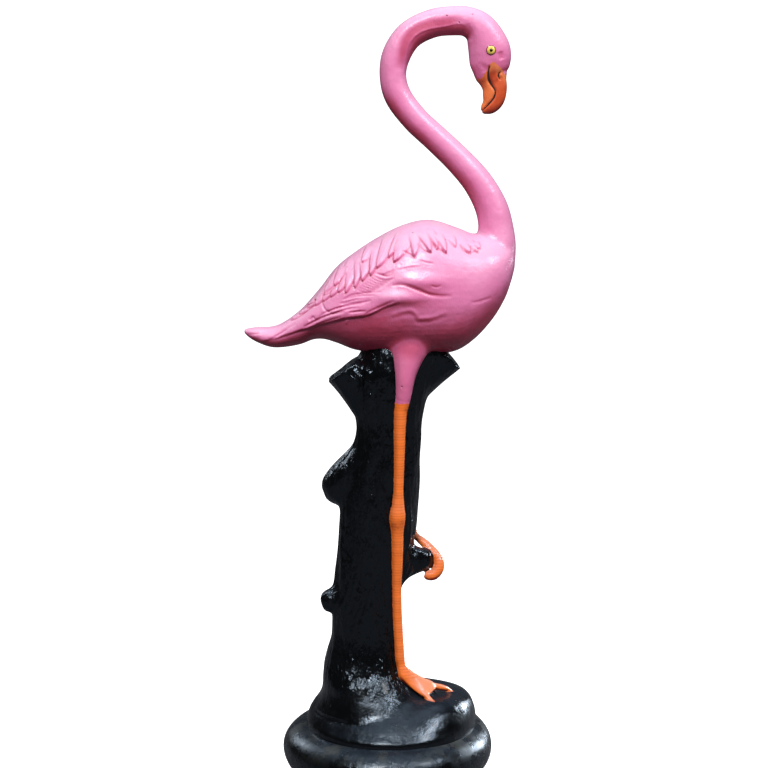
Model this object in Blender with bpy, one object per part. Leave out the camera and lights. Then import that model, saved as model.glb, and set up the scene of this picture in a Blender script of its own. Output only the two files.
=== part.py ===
"""A garden flamingo in painted cast stone.

The bird, its two legs, the tree stump that they are cast against and the round
base are one casting, so they are one solid. The bird faces +X, the camera side
is -Y and the base stands on z = 0 with its axis on the origin.
"""

import math
from collections import namedtuple

import bmesh
import bpy
import numpy as np

# Base: a fat roll with a lower edge that tucks under, and a mound that sits in it
BASE_RADIUS = 0.125
ROLL_HEIGHT = 0.0625
ROLL_BULGE = 0.029
ROLL_DROP = 0.0045
UNDERSIDE_RADIUS = 0.087
MOUND_RADIUS = 0.1015
MOUND_HEIGHT = 0.0365
MOUND_SHIFT = 0.0045
MOUND_TILT = math.radians(4)
MOUND_SINK = 0.012

# The mound's edge: height and reach as shares, where it is a ledge and where it slopes
LEDGE_EDGE = ((0.0, 1.0), (0.3, 0.995), (0.55, 0.97), (0.78, 0.93), (0.93, 0.87), (1.0, 0.78))
SLOPE_EDGE = ((0.0, 0.985), (0.12, 0.975), (0.24, 0.93), (0.42, 0.86), (0.65, 0.75), (0.85, 0.62),
              (0.95, 0.5), (1.0, 0.35))
# How much the edge slopes, by the direction round the mound in degrees
SLOPING = ((-180, 0.2), (-150, 0.6), (-120, 1), (-90, 1), (-70, 0.8), (-50, 0.38), (-32, 0.1),
           (-15, 0), (20, 0), (60, 0.3), (120, 0.35), (180, 0.2))

# Stump and legs, from the mound's top to the bird's belly
STUMP_HEIGHT = 0.405
FIGURE_SHIFT = -0.0012
STUMP_HALF_WIDTH = 0.042
STUMP_HALF_DEPTH = 0.037
LEG_SPREAD = 0.0375
LEG_RADIUS = 0.0058
KNEE_RADIUS = 0.0092
TOE_RADIUS = 0.0052

# Bird, from its belly to the top of its neck, and across its body
BIRD_HEIGHT = 0.396
BIRD_WIDTH = 0.128
NECK_RADIUS = 0.0158

# Carving
FEATHER_THICKNESS = 0.0022
WING_THICKNESS = 0.0026
BARK_DEPTH = 0.0017

# Mesh
VOXEL = 0.0026
FIGURE_TRIANGLES = 8000
BASE_SIDES = 56
MOUND_STEPS = 14
FILLET_ROUNDS = 24
ARC_STEPS = 7
SWEEP_SIDES = 40
STEPS_PER_SPAN = 4

MOUND_TOP = ROLL_HEIGHT + MOUND_HEIGHT
BELLY = MOUND_TOP + STUMP_HEIGHT
# The bird's stations are written in millimetres on a bird of this height
DRAWN_BIRD_HEIGHT = 396.0
DRAWN_BIRD_WIDTH = 128.0
DRAWN_NECK_RADIUS = 15.8
BIRD_UNIT = BIRD_HEIGHT / DRAWN_BIRD_HEIGHT
# The stump's stations are millimetres on a stump of this height and width
DRAWN_STUMP_HEIGHT = 405.0
DRAWN_STUMP_HALF_WIDTH = 42.0
DRAWN_STUMP_HALF_DEPTH = 37.0

Section = namedtuple("Section", "x top bottom half_width")
Along = namedtuple("Along", "x z across depth")
Level = namedtuple("Level", "z centre half_width half_depth")

BODY = (
    Section(-165, 28.5, 24, 5),
    Section(-158, 30, 18, 13),
    Section(-149, 31, 13, 18),
    Section(-135, 31.5, 8, 22),
    Section(-121, 36, 7.5, 25),
    Section(-100, 51, 11, 31),
    Section(-79, 74, 18, 39),
    Section(-58, 100.5, 13, 47),
    Section(-37, 117.5, 5, 53),
    Section(-10, 135, 1, 59),
    Section(20, 149.5, 0, 63.5),
    Section(50, 155, -0.5, 64),
    Section(80, 146.5, 3.5, 60),
    Section(102, 138, 17.5, 54),
    Section(122, 135, 39.5, 45),
    Section(136, 131, 62.5, 34),
    Section(143.5, 126, 83, 23),
    Section(147.6, 118, 98, 11),
)
NECK = (
    Along(100, 74, 30, 33),
    Along(118, 100, 29, 31),
    Along(125.8, 122, 23.8, 26),
    Along(126.3, 143, 20.5, 21),
    Along(120.5, 169, 18.8, 18.5),
    Along(105, 197, 17.2, 16.8),
    Along(83, 222, 16, 15.6),
    Along(56.5, 247, 15.4, 15.2),
    Along(32.8, 268.7, 15.3, 15.2),
    Along(13.5, 294, 15.6, 15.2),
    Along(7.3, 318, 15.3, 15),
    Along(11.6, 341.5, 16.3, 15.2),
    Along(26.5, 363, 16, 15.2),
    Along(52, 375.7, 16, 15.4),
    Along(78, 378.7, 16.4, 15.8),
    Along(93.5, 377, 17, 16.2),
    Along(107.2, 367.5, 19.6, 17.2),
    Along(116.4, 347, 24, 17.2),
    Along(117.8, 331, 23.2, 14.8),
    Along(118.6, 320.7, 19.2, 12),
    Along(120.7, 313.8, 16.6, 10),
    Along(122.4, 306.8, 14.2, 8.6),
)
BEAK = (
    Along(118, 334, 15, 10),
    Along(120.3, 322, 16.6, 9.8),
    Along(121.5, 313, 15.2, 9.2),
    Along(123.3, 303, 14, 8.4),
    Along(122, 292, 12.9, 7.4),
    Along(117.8, 284.3, 10.4, 6),
    Along(111, 279.3, 6, 3.6),
    Along(108.2, 277.8, 2.6, 2.0),
)
# The stump's levels are heights above the mound's top
STUMP = (
    Level(-14.5, -7, 79, 76),
    Level(-2.5, -11.5, 67, 71),
    Level(7.5, -17.5, 58.5, 65.5),
    Level(17.5, -23, 53, 59.5),
    Level(31.5, -26.5, 48.5, 51.5),
    Level(47.5, -27, 44, 45),
    Level(69.5, -26, 39.5, 40),
    Level(99.5, -25.2, 39, 39),
    Level(131.5, -22.5, 39.5, 38),
    Level(159.5, -17, 42, 38),
    Level(189.5, -11.3, 45, 38),
    Level(224.5, -8.7, 45, 37.5),
    Level(259.5, -4, 42.5, 37),
    Level(304.5, 2.5, 38.3, 36.5),
    Level(327.5, 4, 38, 37),
    Level(354.5, 4, 43, 39),
    Level(379.5, 6, 46, 40),
    Level(392.5, 11.5, 46.5, 39),
    Level(404.5, 19, 50, 38),
    Level(417.5, 21, 48, 34),
)
Stub = namedtuple("Stub", "name start end radii depth_share rounded")
# Cut branches and knots, each from inside the trunk to its end, above the mound
STUBS = (
    Stub("left_branch", (-12.5, 0, 341), (-50.5, -2, 387.5), (24.5, 22.3, 22.5), 1.2, False),
    Stub("right_branch", (32.5, 0, 366.5), (74.5, -2, 402), (19, 17.6, 18), 1.15, False),
    Stub("middle_knob", (-22, 5, 259.5), (-67.5, 3, 242.5), (42, 30.5, 17.3), 0.85, True),
    Stub("low_knot", (-46, -8, 115.5), (-73, -12, 111.5), (18, 15.5, 11), 1.0, True),
    Stub("perch", (4, 0, 158), (50, 0, 160), (38, 20.5, 11), 0.75, True),
    Stub("root_under_foot", (0, -20, 32), (60, -24, -8), (17, 13.5, 8), 1.0, True),
)
Leg = namedtuple("Leg", "x y z radius")
# The standing leg, near side: y is a share of LEG_SPREAD, z is above the mound
STANDING_LEG = (
    Leg(18.9, 1.0, 354.5, 1.45),
    Leg(16.3, 1.0, 340.5, 1.22),
    Leg(15.5, 1.0, 299.5, 1.04),
    Leg(14.6, 1.0, 256.5, 0.92),
    Leg(13.9, 0.99, 235.5, 1.15),
    Leg(13.0, 0.98, 219.5, KNEE_RADIUS / LEG_RADIUS),
    Leg(13.0, 0.96, 201.5, 1.2),
    Leg(13.1, 0.94, 185.5, 1.16),
    Leg(12.7, 0.91, 154.5, 1.02),
    Leg(12.4, 0.88, 132.5, 0.9),
    Leg(13.5, 0.86, 93.5, 0.92),
    Leg(15.3, 0.87, 62.5, 0.92),
    Leg(16, 0.88, 50, 0.96),
    Leg(17.5, 0.88, 40, 0.8),
)
THIGH = (
    Leg(27, 0.3, 438, 5.2),
    Leg(26.5, 0.45, 424, 5),
    Leg(25, 0.66, 410, 4.2),
    Leg(23.2, 0.84, 398, 2.95),
    Leg(22, 0.94, 388, 2.3),
    Leg(21, 0.99, 379, 1.95),
    Leg(20.2, 1.0, 369.5, 1.75),
    Leg(18.9, 1.0, 354.5, 1.55),
)
# The raised leg, far side: down the stump, then round the end of the perch
RAISED_LEG = (
    Leg(20, -1.0, 371.5, 1.7),
    Leg(15, -1.02, 349.5, 1.35),
    Leg(4, -1.04, 321.5, 1.1),
    Leg(-6, -1.06, 299.5, 1.25),
    Leg(-9, -1.07, 285.5, 1.5),
    Leg(-4, -1.07, 269.5, 1.2),
    Leg(10, -1.0, 234.5, 0.95),
    Leg(24, -0.8, 205.5, 0.9),
    Leg(34, -0.55, 186, 0.7),
)
HOOKED_TOES = (
    Leg(32, -0.6, 185.5, 0.6),
    Leg(43.8, -0.36, 177.6, 0.88),
    Leg(52.7, -0.2, 171, 0.88),
    Leg(59.5, -0.1, 163.8, 0.9),
    Leg(62.8, -0.04, 156.5, 1.03),
    Leg(61.6, 0.0, 148.5, 1.14),
    Leg(56.2, 0.03, 142, 1.16),
    Leg(50, 0.03, 140.5, 1.0),
    Leg(45.5, 0.0, 142, 0.7),
)
Web = namedtuple("Web", "near_x near_y near_z far_x far_y far_z thickness")
# The standing foot's web from the ankle to the notch between its toes, by its two edges
FOOT_WEB = (
    Web(12.8, -35, 44, 19.4, -31.5, 46.8, 0.7),
    Web(15.3, -38, 29.1, 26, -31, 37.7, 0.95),
    Web(21.2, -39.5, 23, 33.6, -29.5, 30.6, 0.9),
    Web(28.8, -41, 16.3, 44.3, -27, 23.7, 0.85),
    Web(38.1, -43, 9.7, 55.1, -23, 17.5, 0.8),
    Web(45.7, -44.5, 5.4, 61.1, -21, 11.9, 0.7),
)
# Toes, each from inside the web to its tip: x, y, z above the mound, share of TOE_RADIUS
Toe = namedtuple("Toe", "x y z radius")
TOES = (
    (Toe(39, -41.5, 10.5, 0.65), Toe(47.4, -45, 6.4, 0.62), Toe(52, -48, 3.6, 0.5),
     Toe(56, -50.5, 2.2, 0.28)),
    (Toe(52, -25.5, 14, 0.7), Toe(62.5, -20.5, 10.5, 0.75), Toe(70.8, -15, 7, 0.6),
     Toe(78.3, -10, 2.4, 0.28)),
    (Toe(38, -22, 18, 0.7), Toe(50, -4, 10, 0.8), Toe(62, 14, -3, 0.4)),
)
RIB_SHARE = 0.42
# The folded wing's lower edge as x and height, its rim, its front and where it dies away
WING_EDGE = (
    (-150, 16), (-120, 20), (-90, 30), (-60, 39), (-10, 44), (30, 48), (70, 50), (100, 62),
    (120, 84),
)
WING_RIM = 4.5
WING_FRONT = 118
WING_FADE = 48
# Rows of feathers: the first one's tip, the step to the next, and the way it points
FeatherRow = namedtuple(
    "FeatherRow", "count tip_x step_x tip_z step_z angle turn length half_width"
)
FEATHER_ROWS = (
    FeatherRow(6, -74, 17, 64, 7.5, 222, -4, 34, 8),
    FeatherRow(6, -62, 19, 83, 7.5, 226, -2, 30, 7.5),
    FeatherRow(7, -34, 20.5, 106, 3.4, 240, 5, 24, 7.5),
)
FEATHER_RIM = 3.0
ROOT_SHARE = 0.35
Grooves = namedtuple(
    "Grooves", "count start_x step_x start_z step_z end_x end_z end_step bend half_width"
)
GROOVES = Grooves(5, 0, -5, 84, -8, -96, 36, 1.4, 0.85, 2.1)
# The carving fades in where the side of the bird turns towards the viewer
FACING_SIDEWAYS = (0.25, 0.6)
# A rounded knot ends this share of its radius further on, with this share of its radius
ROUNDING_REACH = 0.42
ROUNDING_RADIUS = 0.45


def clear_scene():
    """Removes the objects that are there before the model."""
    for existing in list(bpy.data.objects):
        bpy.data.objects.remove(existing, do_unlink=True)


def smooth_through(rows, steps=STEPS_PER_SPAN):
    """Rows of numbers on a smooth curve that passes through the given rows."""
    rows = np.asarray(rows, float)
    padded = np.vstack([2 * rows[0] - rows[1], rows, 2 * rows[-1] - rows[-2]])
    found = []
    for span in range(len(rows) - 1):
        before, start, end, after = padded[span : span + 4]
        for step in range(steps):
            t = step / steps
            found.append(
                0.5 * (2 * start + (end - before) * t
                       + (2 * before - 5 * start + 4 * end - after) * t**2
                       + (3 * start - before - 3 * end + after) * t**3)
            )
    found.append(rows[-1])
    return np.array(found)


def ellipse(centre, first, second, a, b, power=2.0, sides=SWEEP_SIDES):
    """Points of a superellipse with half-axes a and b on two directions."""
    angles = np.linspace(0, 2 * math.pi, sides, endpoint=False)
    cos, sin = np.cos(angles), np.sin(angles)
    u = a * np.sign(cos) * np.abs(cos) ** (2 / power)
    v = b * np.sign(sin) * np.abs(sin) ** (2 / power)
    return centre + np.outer(u, first) + np.outer(v, second)


def loft(mesh, rings):
    """Adds a closed skin over a row of rings to a bmesh."""
    made = [[mesh.verts.new(point) for point in ring] for ring in rings]
    sides = len(made[0])
    faces = [mesh.faces.new(made[0][::-1]), mesh.faces.new(made[-1])]
    for low, high in zip(made, made[1:]):
        for i in range(sides):
            j = (i + 1) % sides
            faces.append(mesh.faces.new((low[i], low[j], high[j], high[i])))
    return faces


def sweep(mesh, rows, power=2.0):
    """Lofts x, y, z, a, b rows along their own path; b is measured towards Y."""
    rows = smooth_through(rows)
    path = rows[:, :3]
    tangents = np.gradient(path, axis=0)
    tangents /= np.linalg.norm(tangents, axis=1)[:, None]
    rings = []
    for (x, y, z, a, b), tangent in zip(rows, tangents):
        side = np.array([0.0, 1.0, 0.0]) - tangent * tangent[1]
        side /= np.linalg.norm(side)
        out = np.cross(side, tangent)
        rings.append(ellipse(np.array([x, y, z]), out, side, a, b, power))
    return loft(mesh, rings)


def bird_rows(stations, girth):
    """Rows for sweep() from stations drawn in millimetres on the bird."""
    return [
        (FIGURE_SHIFT + s.x * BIRD_UNIT, 0.0, BELLY + s.z * BIRD_UNIT,
         s.across * girth * BIRD_UNIT, s.depth * girth * BIRD_UNIT)
        for s in stations
    ]


def add_body(mesh):
    """The bird's body, from upright sections between tail and breast."""
    wide = BIRD_WIDTH / DRAWN_BIRD_WIDTH
    rings = []
    for x, top, bottom, half in smooth_through(BODY):
        middle, rise = (top + bottom) / 2, max(top - bottom, 1.0) / 2
        centre = np.array(
            [FIGURE_SHIFT + x * BIRD_UNIT, 0.0, BELLY + middle * BIRD_UNIT]
        )
        rings.append(
            ellipse(centre, (0, 0, 1), (0, -1, 0), rise * BIRD_UNIT, half * wide, 2.15)
        )
    loft(mesh, rings)


def add_neck_and_head(mesh):
    """The swept neck with the head at its end, and the bent beak."""
    girth = NECK_RADIUS / (DRAWN_NECK_RADIUS * BIRD_UNIT)
    sweep(mesh, bird_rows(NECK, girth))
    sweep(mesh, bird_rows(BEAK, girth), 2.3)


def stump_point(x, y, z):
    """A point given in drawn millimetres on the stump, above the mound's top."""
    return (
        FIGURE_SHIFT + x * STUMP_HALF_WIDTH / DRAWN_STUMP_HALF_WIDTH,
        y * STUMP_HALF_DEPTH / DRAWN_STUMP_HALF_DEPTH,
        MOUND_TOP + z * STUMP_HEIGHT / DRAWN_STUMP_HEIGHT,
    )


def add_stump(mesh):
    """The trunk with its spreading foot, and its cut branches and knots."""
    wide = STUMP_HALF_WIDTH / DRAWN_STUMP_HALF_WIDTH
    deep = STUMP_HALF_DEPTH / DRAWN_STUMP_HALF_DEPTH
    rings = []
    for z, centre, half_width, half_depth in smooth_through(STUMP):
        middle = np.array(stump_point(centre, 0, z))
        rings.append(
            ellipse(middle, (1, 0, 0), (0, 1, 0), half_width * wide, half_depth * deep, 2.3)
        )
    loft(mesh, rings)
    for stub in STUBS:
        start, end = stump_point(*stub.start), stump_point(*stub.end)
        middle = [(p + q) / 2 for p, q in zip(start, end)]
        places = list(zip((start, middle, end), stub.radii))
        if stub.rounded:
            reach = ROUNDING_REACH * stub.radii[-1] / math.dist(stub.start, stub.end)
            tip = [q + (q - p) * reach for p, q in zip(start, end)]
            places.append((tip, ROUNDING_RADIUS * stub.radii[-1]))
        rows = [
            (*point, radius * wide, radius * wide * stub.depth_share)
            for point, radius in places
        ]
        sweep(mesh, rows, 2.4)


def leg_rows(stations):
    """Rows for sweep() along a leg; the near side is -Y."""
    rows = []
    for station in stations:
        x, _, z = stump_point(station.x, 0, station.z)
        radius = station.radius * LEG_RADIUS
        rows.append((x, -station.y * LEG_SPREAD, z, radius, radius))
    return rows


def add_legs(mesh):
    """The standing leg with its foot, the raised leg with its hooked toes, and both thighs."""
    far_thigh = [station._replace(y=-station.y) for station in THIGH]
    for stations in (THIGH, far_thigh, STANDING_LEG, RAISED_LEG, HOOKED_TOES):
        sweep(mesh, leg_rows(stations))
    add_rib(mesh, STANDING_LEG[4:])
    add_foot(mesh)


def add_rib(mesh, stations):
    """The web of stone that joins the lower leg to the trunk behind it."""
    rows = []
    for x, y, z, _, _ in leg_rows(stations):
        rows.append((x - LEG_RADIUS, y * (1 - RIB_SHARE), z, 1.5 * LEG_RADIUS, RIB_SHARE * -y))
    sweep(mesh, rows)


def add_foot(mesh):
    """The web of the foot and its toes, lying on the slope of the roots."""
    rings = []
    rows = smooth_through(FOOT_WEB)
    for i, row in enumerate(rows):
        near, far = np.array(stump_point(*row[:3])), np.array(stump_point(*row[3:6]))
        before, after = rows[max(i - 1, 0)], rows[min(i + 1, len(rows) - 1)]
        ahead = np.array(stump_point(*after[:3])) - np.array(stump_point(*before[:3]))
        across = (far - near) / np.linalg.norm(far - near)
        up = np.cross(across, ahead)
        up /= np.linalg.norm(up)
        half_width = 0.5 * np.linalg.norm(far - near)
        thickness = row[6] * TOE_RADIUS
        rings.append(ellipse((near + far) / 2, across, up, half_width, thickness, 2.3))
    loft(mesh, rings)
    for toe in TOES:
        sweep(mesh, [
            (*stump_point(t.x, t.y, t.z), t.radius * TOE_RADIUS, t.radius * TOE_RADIUS)
            for t in toe
        ])


def mound_reach(rise, angle):
    """The mound's reach as a share of its radius, at a share of its height, towards an angle."""
    sloping = np.interp(np.degrees(angle), *zip(*SLOPING))
    ledge = np.interp(rise, *zip(*LEDGE_EDGE))
    slope = np.interp(rise, *zip(*SLOPE_EDGE))
    return ledge + (slope - ledge) * sloping


def add_mound(mesh):
    """The mound: a ledge under the foot that turns into a soft slope in front."""
    rises = np.concatenate([[-MOUND_SINK / MOUND_HEIGHT], np.linspace(0, 1, MOUND_STEPS)])
    angles = np.linspace(-math.pi, math.pi, BASE_SIDES, endpoint=False)
    rings = []
    for rise in rises:
        reach = MOUND_RADIUS * mound_reach(max(rise, 0.0), angles)
        tilt = math.tan(MOUND_TILT) * max(rise, 0.0)
        x, y = reach * np.cos(angles), reach * np.sin(angles)
        z = ROLL_HEIGHT + rise * MOUND_HEIGHT - y * tilt
        rings.append(np.column_stack([MOUND_SHIFT + x, y, z]))
    loft(mesh, rings)


def evaluated_mesh(thing):
    """The mesh that an object's modifiers give."""
    graph = bpy.context.evaluated_depsgraph_get()
    return bpy.data.meshes.new_from_object(thing.evaluated_get(graph))


def cast_in_one(parts, name):
    """One closed mesh round everything in a bmesh."""
    bmesh.ops.recalc_face_normals(parts, faces=parts.faces)
    rough = bpy.data.meshes.new(name + "_rough")
    parts.to_mesh(rough)
    holder = bpy.data.objects.new(name + "_rough", rough)
    bpy.context.collection.objects.link(holder)
    remesh = holder.modifiers.new("Cast", "REMESH")
    remesh.mode = "VOXEL"
    remesh.voxel_size = VOXEL
    soften = holder.modifiers.new("Soften", "SMOOTH")
    soften.factor = 0.5
    soften.iterations = 2
    mesh = evaluated_mesh(holder)
    bpy.data.objects.remove(holder)
    return mesh


def fill_creases(mesh, rounds):
    """Fills the sharp creases where parts of the casting meet, and leaves its edges."""
    points = np.empty(len(mesh.vertices) * 3)
    mesh.vertices.foreach_get("co", points)
    points = points.reshape(-1, 3)
    edges = np.empty(len(mesh.edges) * 2, dtype=np.int32)
    mesh.edges.foreach_get("vertices", edges)
    one, other = edges.reshape(-1, 2).T
    count = len(points)
    shared = np.bincount(one, minlength=count) + np.bincount(other, minlength=count)
    free = smoothstep(0.3 * LEG_RADIUS, 0.9 * LEG_RADIUS, distance_to_legs(points))
    free[points[:, 2] < MOUND_TOP - 0.45 * MOUND_HEIGHT] = 0.0
    for _ in range(rounds):
        normals = np.empty(count * 3)
        mesh.vertex_normals.foreach_get("vector", normals)
        normals = normals.reshape(-1, 3)
        total = np.zeros_like(points)
        for axis in range(3):
            total[:, axis] = np.bincount(one, points[other, axis], count)
            total[:, axis] += np.bincount(other, points[one, axis], count)
        inward = np.einsum("ij,ij->i", total / shared[:, None] - points, normals)
        points += normals * (0.8 * free * np.clip(inward, 0, None))[:, None]
        mesh.vertices.foreach_set("co", points.ravel())
        mesh.update()


def distance_to_legs(points):
    """How far points are from the skins of the legs below the thighs, in metres."""
    found = np.full(len(points), np.inf)
    for stations in (STANDING_LEG, HOOKED_TOES, RAISED_LEG):
        for row in smooth_through(leg_rows(stations)):
            found = np.minimum(found, np.linalg.norm(points - row[:3], axis=1) - row[3])
    for row in smooth_through(FOOT_WEB):
        for share in np.linspace(0, 1, 5):
            place = np.array(stump_point(*(row[:3] + (row[3:6] - row[:3]) * share)))
            found = np.minimum(found, np.linalg.norm(points - place, axis=1) - TOE_RADIUS)
    for toe in TOES:
        for row in smooth_through(toe):
            gap = np.linalg.norm(points - np.array(stump_point(*row[:3])), axis=1)
            found = np.minimum(found, gap - row[3] * TOE_RADIUS)
    return found


def smoothstep(low, high, value):
    """0 below low, 1 above high and smooth between them."""
    t = np.clip((value - low) / (high - low), 0.0, 1.0)
    return t * t * (3 - 2 * t)


Feather = namedtuple("Feather", "tip_x tip_z angle length half_width")


def feathers():
    """Every feather of the wing, in drawn millimetres and degrees."""
    found = []
    for row in FEATHER_ROWS:
        for i in range(row.count):
            found.append(
                Feather(row.tip_x + row.step_x * i, row.tip_z + row.step_z * i,
                        row.angle + row.turn * i, row.length, row.half_width)
            )
    return found


def feather_plates(x, z):
    """How far each point lies up the slope of a feather, from 0 to 1."""
    plates = np.zeros_like(x)
    for feather in feathers():
        ahead_x = math.cos(math.radians(feather.angle))
        ahead_z = math.sin(math.radians(feather.angle))
        off_x, off_z = x - feather.tip_x, z - feather.tip_z
        along = (off_x * ahead_x + off_z * ahead_z) / feather.length + 1
        across = np.abs(off_z * ahead_x - off_x * ahead_z)
        outline = feather.half_width * np.sqrt(1 - np.clip(along, 0, 1) ** 4)
        rim = smoothstep(0, FEATHER_RIM, outline - across) * (along > 0) * (along < 1)
        plates = np.maximum(plates, rim * (ROOT_SHARE + (1 - ROOT_SHARE) * along))
    return plates


def flight_grooves(x, z):
    """The long grooves that fan out from the wing to the tail, from 0 to 1."""
    grooves = np.zeros_like(x)
    for i in range(GROOVES.count):
        start_x = GROOVES.start_x + GROOVES.step_x * i
        start_z = GROOVES.start_z + GROOVES.step_z * i
        end_z = GROOVES.end_z + GROOVES.end_step * i
        share = np.clip((start_x - x) / (start_x - GROOVES.end_x), 0, 1)
        line = start_z + (end_z - start_z) * share**GROOVES.bend
        within = (x < start_x) & (x > GROOVES.end_x)
        grooves += np.exp(-(((z - line) / GROOVES.half_width) ** 2)) * within
    return grooves


def wing_relief(x, z, sideways):
    """How far the folded wing and its feathers stand proud, in metres."""
    above_edge = z - np.interp(x, *zip(*WING_EDGE))
    inside = smoothstep(0, WING_RIM, above_edge) * smoothstep(WING_FRONT, WING_FRONT - 14, x)
    height = WING_THICKNESS * inside * smoothstep(WING_FADE, WING_RIM, above_edge)
    height += FEATHER_THICKNESS * (feather_plates(x, z) - 0.5 * flight_grooves(x, z))
    return height * smoothstep(*FACING_SIDEWAYS, sideways)


def bark_relief(points, height_on_stump):
    """Long shallow flutes and swellings of the bark, in metres."""
    turn = np.arctan2(points[:, 1], points[:, 0] + 0.012)
    rise = height_on_stump * 14
    flutes = np.sin(9 * turn + 1.3 * np.sin(rise)) + 0.6 * np.sin(17 * turn + rise * 1.7)
    return BARK_DEPTH * 0.5 * flutes


def carve(mesh):
    """Moves the cast surface in and out, for the wing's feathers and the bark."""
    count = len(mesh.vertices)
    points = np.empty(count * 3)
    mesh.vertices.foreach_get("co", points)
    points = points.reshape(-1, 3)
    normals = np.empty(count * 3)
    mesh.vertex_normals.foreach_get("vector", normals)
    normals = normals.reshape(-1, 3)
    x = (points[:, 0] - FIGURE_SHIFT) / BIRD_UNIT
    z = (points[:, 2] - BELLY) / BIRD_UNIT
    on_body = (z > 2) & (z < 160) & (x < WING_FRONT + 10)
    relief = np.where(on_body, wing_relief(x, z, np.abs(normals[:, 1])), 0.0)
    near_leg = np.abs(points[:, 1]) > 0.8 * LEG_SPREAD
    beside_leg = near_leg & (points[:, 0] > 0)
    share = (points[:, 2] - MOUND_TOP) / STUMP_HEIGHT
    on_bark = ~beside_leg & (points[:, 0] < 0.85 * STUMP_HALF_WIDTH)
    fade = smoothstep(0.1, 0.16, share) * smoothstep(0.94, 0.88, share)
    relief += np.where(on_bark, bark_relief(points, share) * fade, 0.0)
    points += normals * relief[:, None]
    mesh.vertices.foreach_set("co", points.ravel())
    mesh.update()


def base_profile():
    """Radius and height pairs of the base's roll, from the top down its outside."""
    crown = BASE_RADIUS - ROLL_BULGE
    waist = ROLL_HEIGHT - ROLL_BULGE
    pairs = [(0.0, ROLL_HEIGHT - 0.3 * MOUND_SINK), (crown, ROLL_HEIGHT)]
    for step in range(1, ARC_STEPS + 1):
        turn = math.radians(90 - 90 * step / ARC_STEPS)
        pairs.append((crown + ROLL_BULGE * math.cos(turn), waist + ROLL_BULGE * math.sin(turn)))
    for step in range(1, ARC_STEPS + 1):
        turn = math.radians(90 * step / ARC_STEPS)
        pairs.append(
            (UNDERSIDE_RADIUS + (BASE_RADIUS - UNDERSIDE_RADIUS) * math.cos(turn),
             waist - waist * math.sin(turn))
        )
    pairs.append((0.0, 0.0))
    return pairs


def turned_base():
    """The base's roll, turned round the Z axis and slumped towards -X, as a closed mesh."""
    mesh = bmesh.new()
    profile = [mesh.verts.new((r, 0.0, z)) for r, z in base_profile()]
    edges = [mesh.edges.new(pair) for pair in zip(profile, profile[1:])]
    bmesh.ops.spin(
        mesh, geom=profile + edges, cent=(0, 0, 0), axis=(0, 0, 1),
        angle=2 * math.pi, steps=BASE_SIDES, use_merge=True,
    )
    bmesh.ops.remove_doubles(mesh, verts=mesh.verts, dist=1e-6)
    bmesh.ops.recalc_face_normals(mesh, faces=mesh.faces)
    for vertex in mesh.verts:
        on_shoulder = max(vertex.co.z / (ROLL_HEIGHT - ROLL_BULGE) - 1, 0.0)
        vertex.co.z -= ROLL_DROP * on_shoulder * max(-vertex.co.x / BASE_RADIUS, 0.0)
    data = bpy.data.meshes.new("base_roll")
    mesh.to_mesh(data)
    mesh.free()
    return data


def painted(name, colour, roughness):
    """A painted stone material."""
    material = bpy.data.materials.new(name)
    material.use_nodes = True
    shader = material.node_tree.nodes["Principled BSDF"]
    shader.inputs["Base Color"].default_value = (*colour, 1.0)
    shader.inputs["Roughness"].default_value = roughness
    shader.inputs["Metallic"].default_value = 0.0
    return material


def paint(mesh):
    """Gives each face the paint of the part of the casting that it lies on."""
    mesh.materials.append(painted("pink_enamel", (0.80, 0.16, 0.42), 0.35))
    mesh.materials.append(painted("orange_enamel", (0.85, 0.17, 0.03), 0.4))
    mesh.materials.append(painted("black_enamel", (0.006, 0.006, 0.008), 0.3))
    pink, orange, black = range(3)
    thigh_end = stump_point(0, 0, STANDING_LEG[0].z)[2]
    beak_top = BELLY + BEAK[1].z * BIRD_UNIT
    beak_start = BEAK[0].x * BIRD_UNIT - BIRD_UNIT * 20
    centres = np.empty(len(mesh.polygons) * 3)
    mesh.polygons.foreach_get("center", centres)
    centres = centres.reshape(-1, 3)
    x, y, z = centres.T
    to_leg = distance_to_legs(centres)
    for row in smooth_through(leg_rows(THIGH)):
        to_leg = np.minimum(to_leg, np.linalg.norm(centres - row[:3], axis=1) - row[3])
    on_leg = to_leg < 0.4 * LEG_RADIUS
    on_bird = z > BELLY - 0.004
    on_beak = (z < beak_top) & (z > BELLY + 0.6 * BIRD_HEIGHT) & (x > beak_start)
    colours = np.where(on_bird, np.where(on_beak, orange, pink), black)
    colours[on_leg & ~on_bird] = orange
    colours[on_leg & (z > thigh_end)] = pink
    mesh.polygons.foreach_set("material_index", colours.astype(np.int32))


def build():
    """Builds the casting."""
    clear_scene()
    parts = bmesh.new()
    add_body(parts)
    add_neck_and_head(parts)
    add_stump(parts)
    add_legs(parts)
    add_mound(parts)
    figure = cast_in_one(parts, "figure")
    parts.free()
    fill_creases(figure, FILLET_ROUNDS)
    carve(figure)
    paint(figure)
    casting = bpy.data.objects.new("flamingo_casting", figure)
    bpy.context.collection.objects.link(casting)
    triangles = sum(len(face.vertices) - 2 for face in figure.polygons)
    thin = casting.modifiers.new("Fewer faces", "DECIMATE")
    thin.ratio = FIGURE_TRIANGLES / triangles
    roll = bpy.data.objects.new("base_roll", turned_base())
    roll.data.materials.append(figure.materials["black_enamel"])
    bpy.context.collection.objects.link(roll)
    roll.hide_render = True
    roll.display_type = "WIRE"
    join = casting.modifiers.new("Base", "BOOLEAN")
    join.operation = "UNION"
    join.solver = "EXACT"
    join.object = roll


build()
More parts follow.
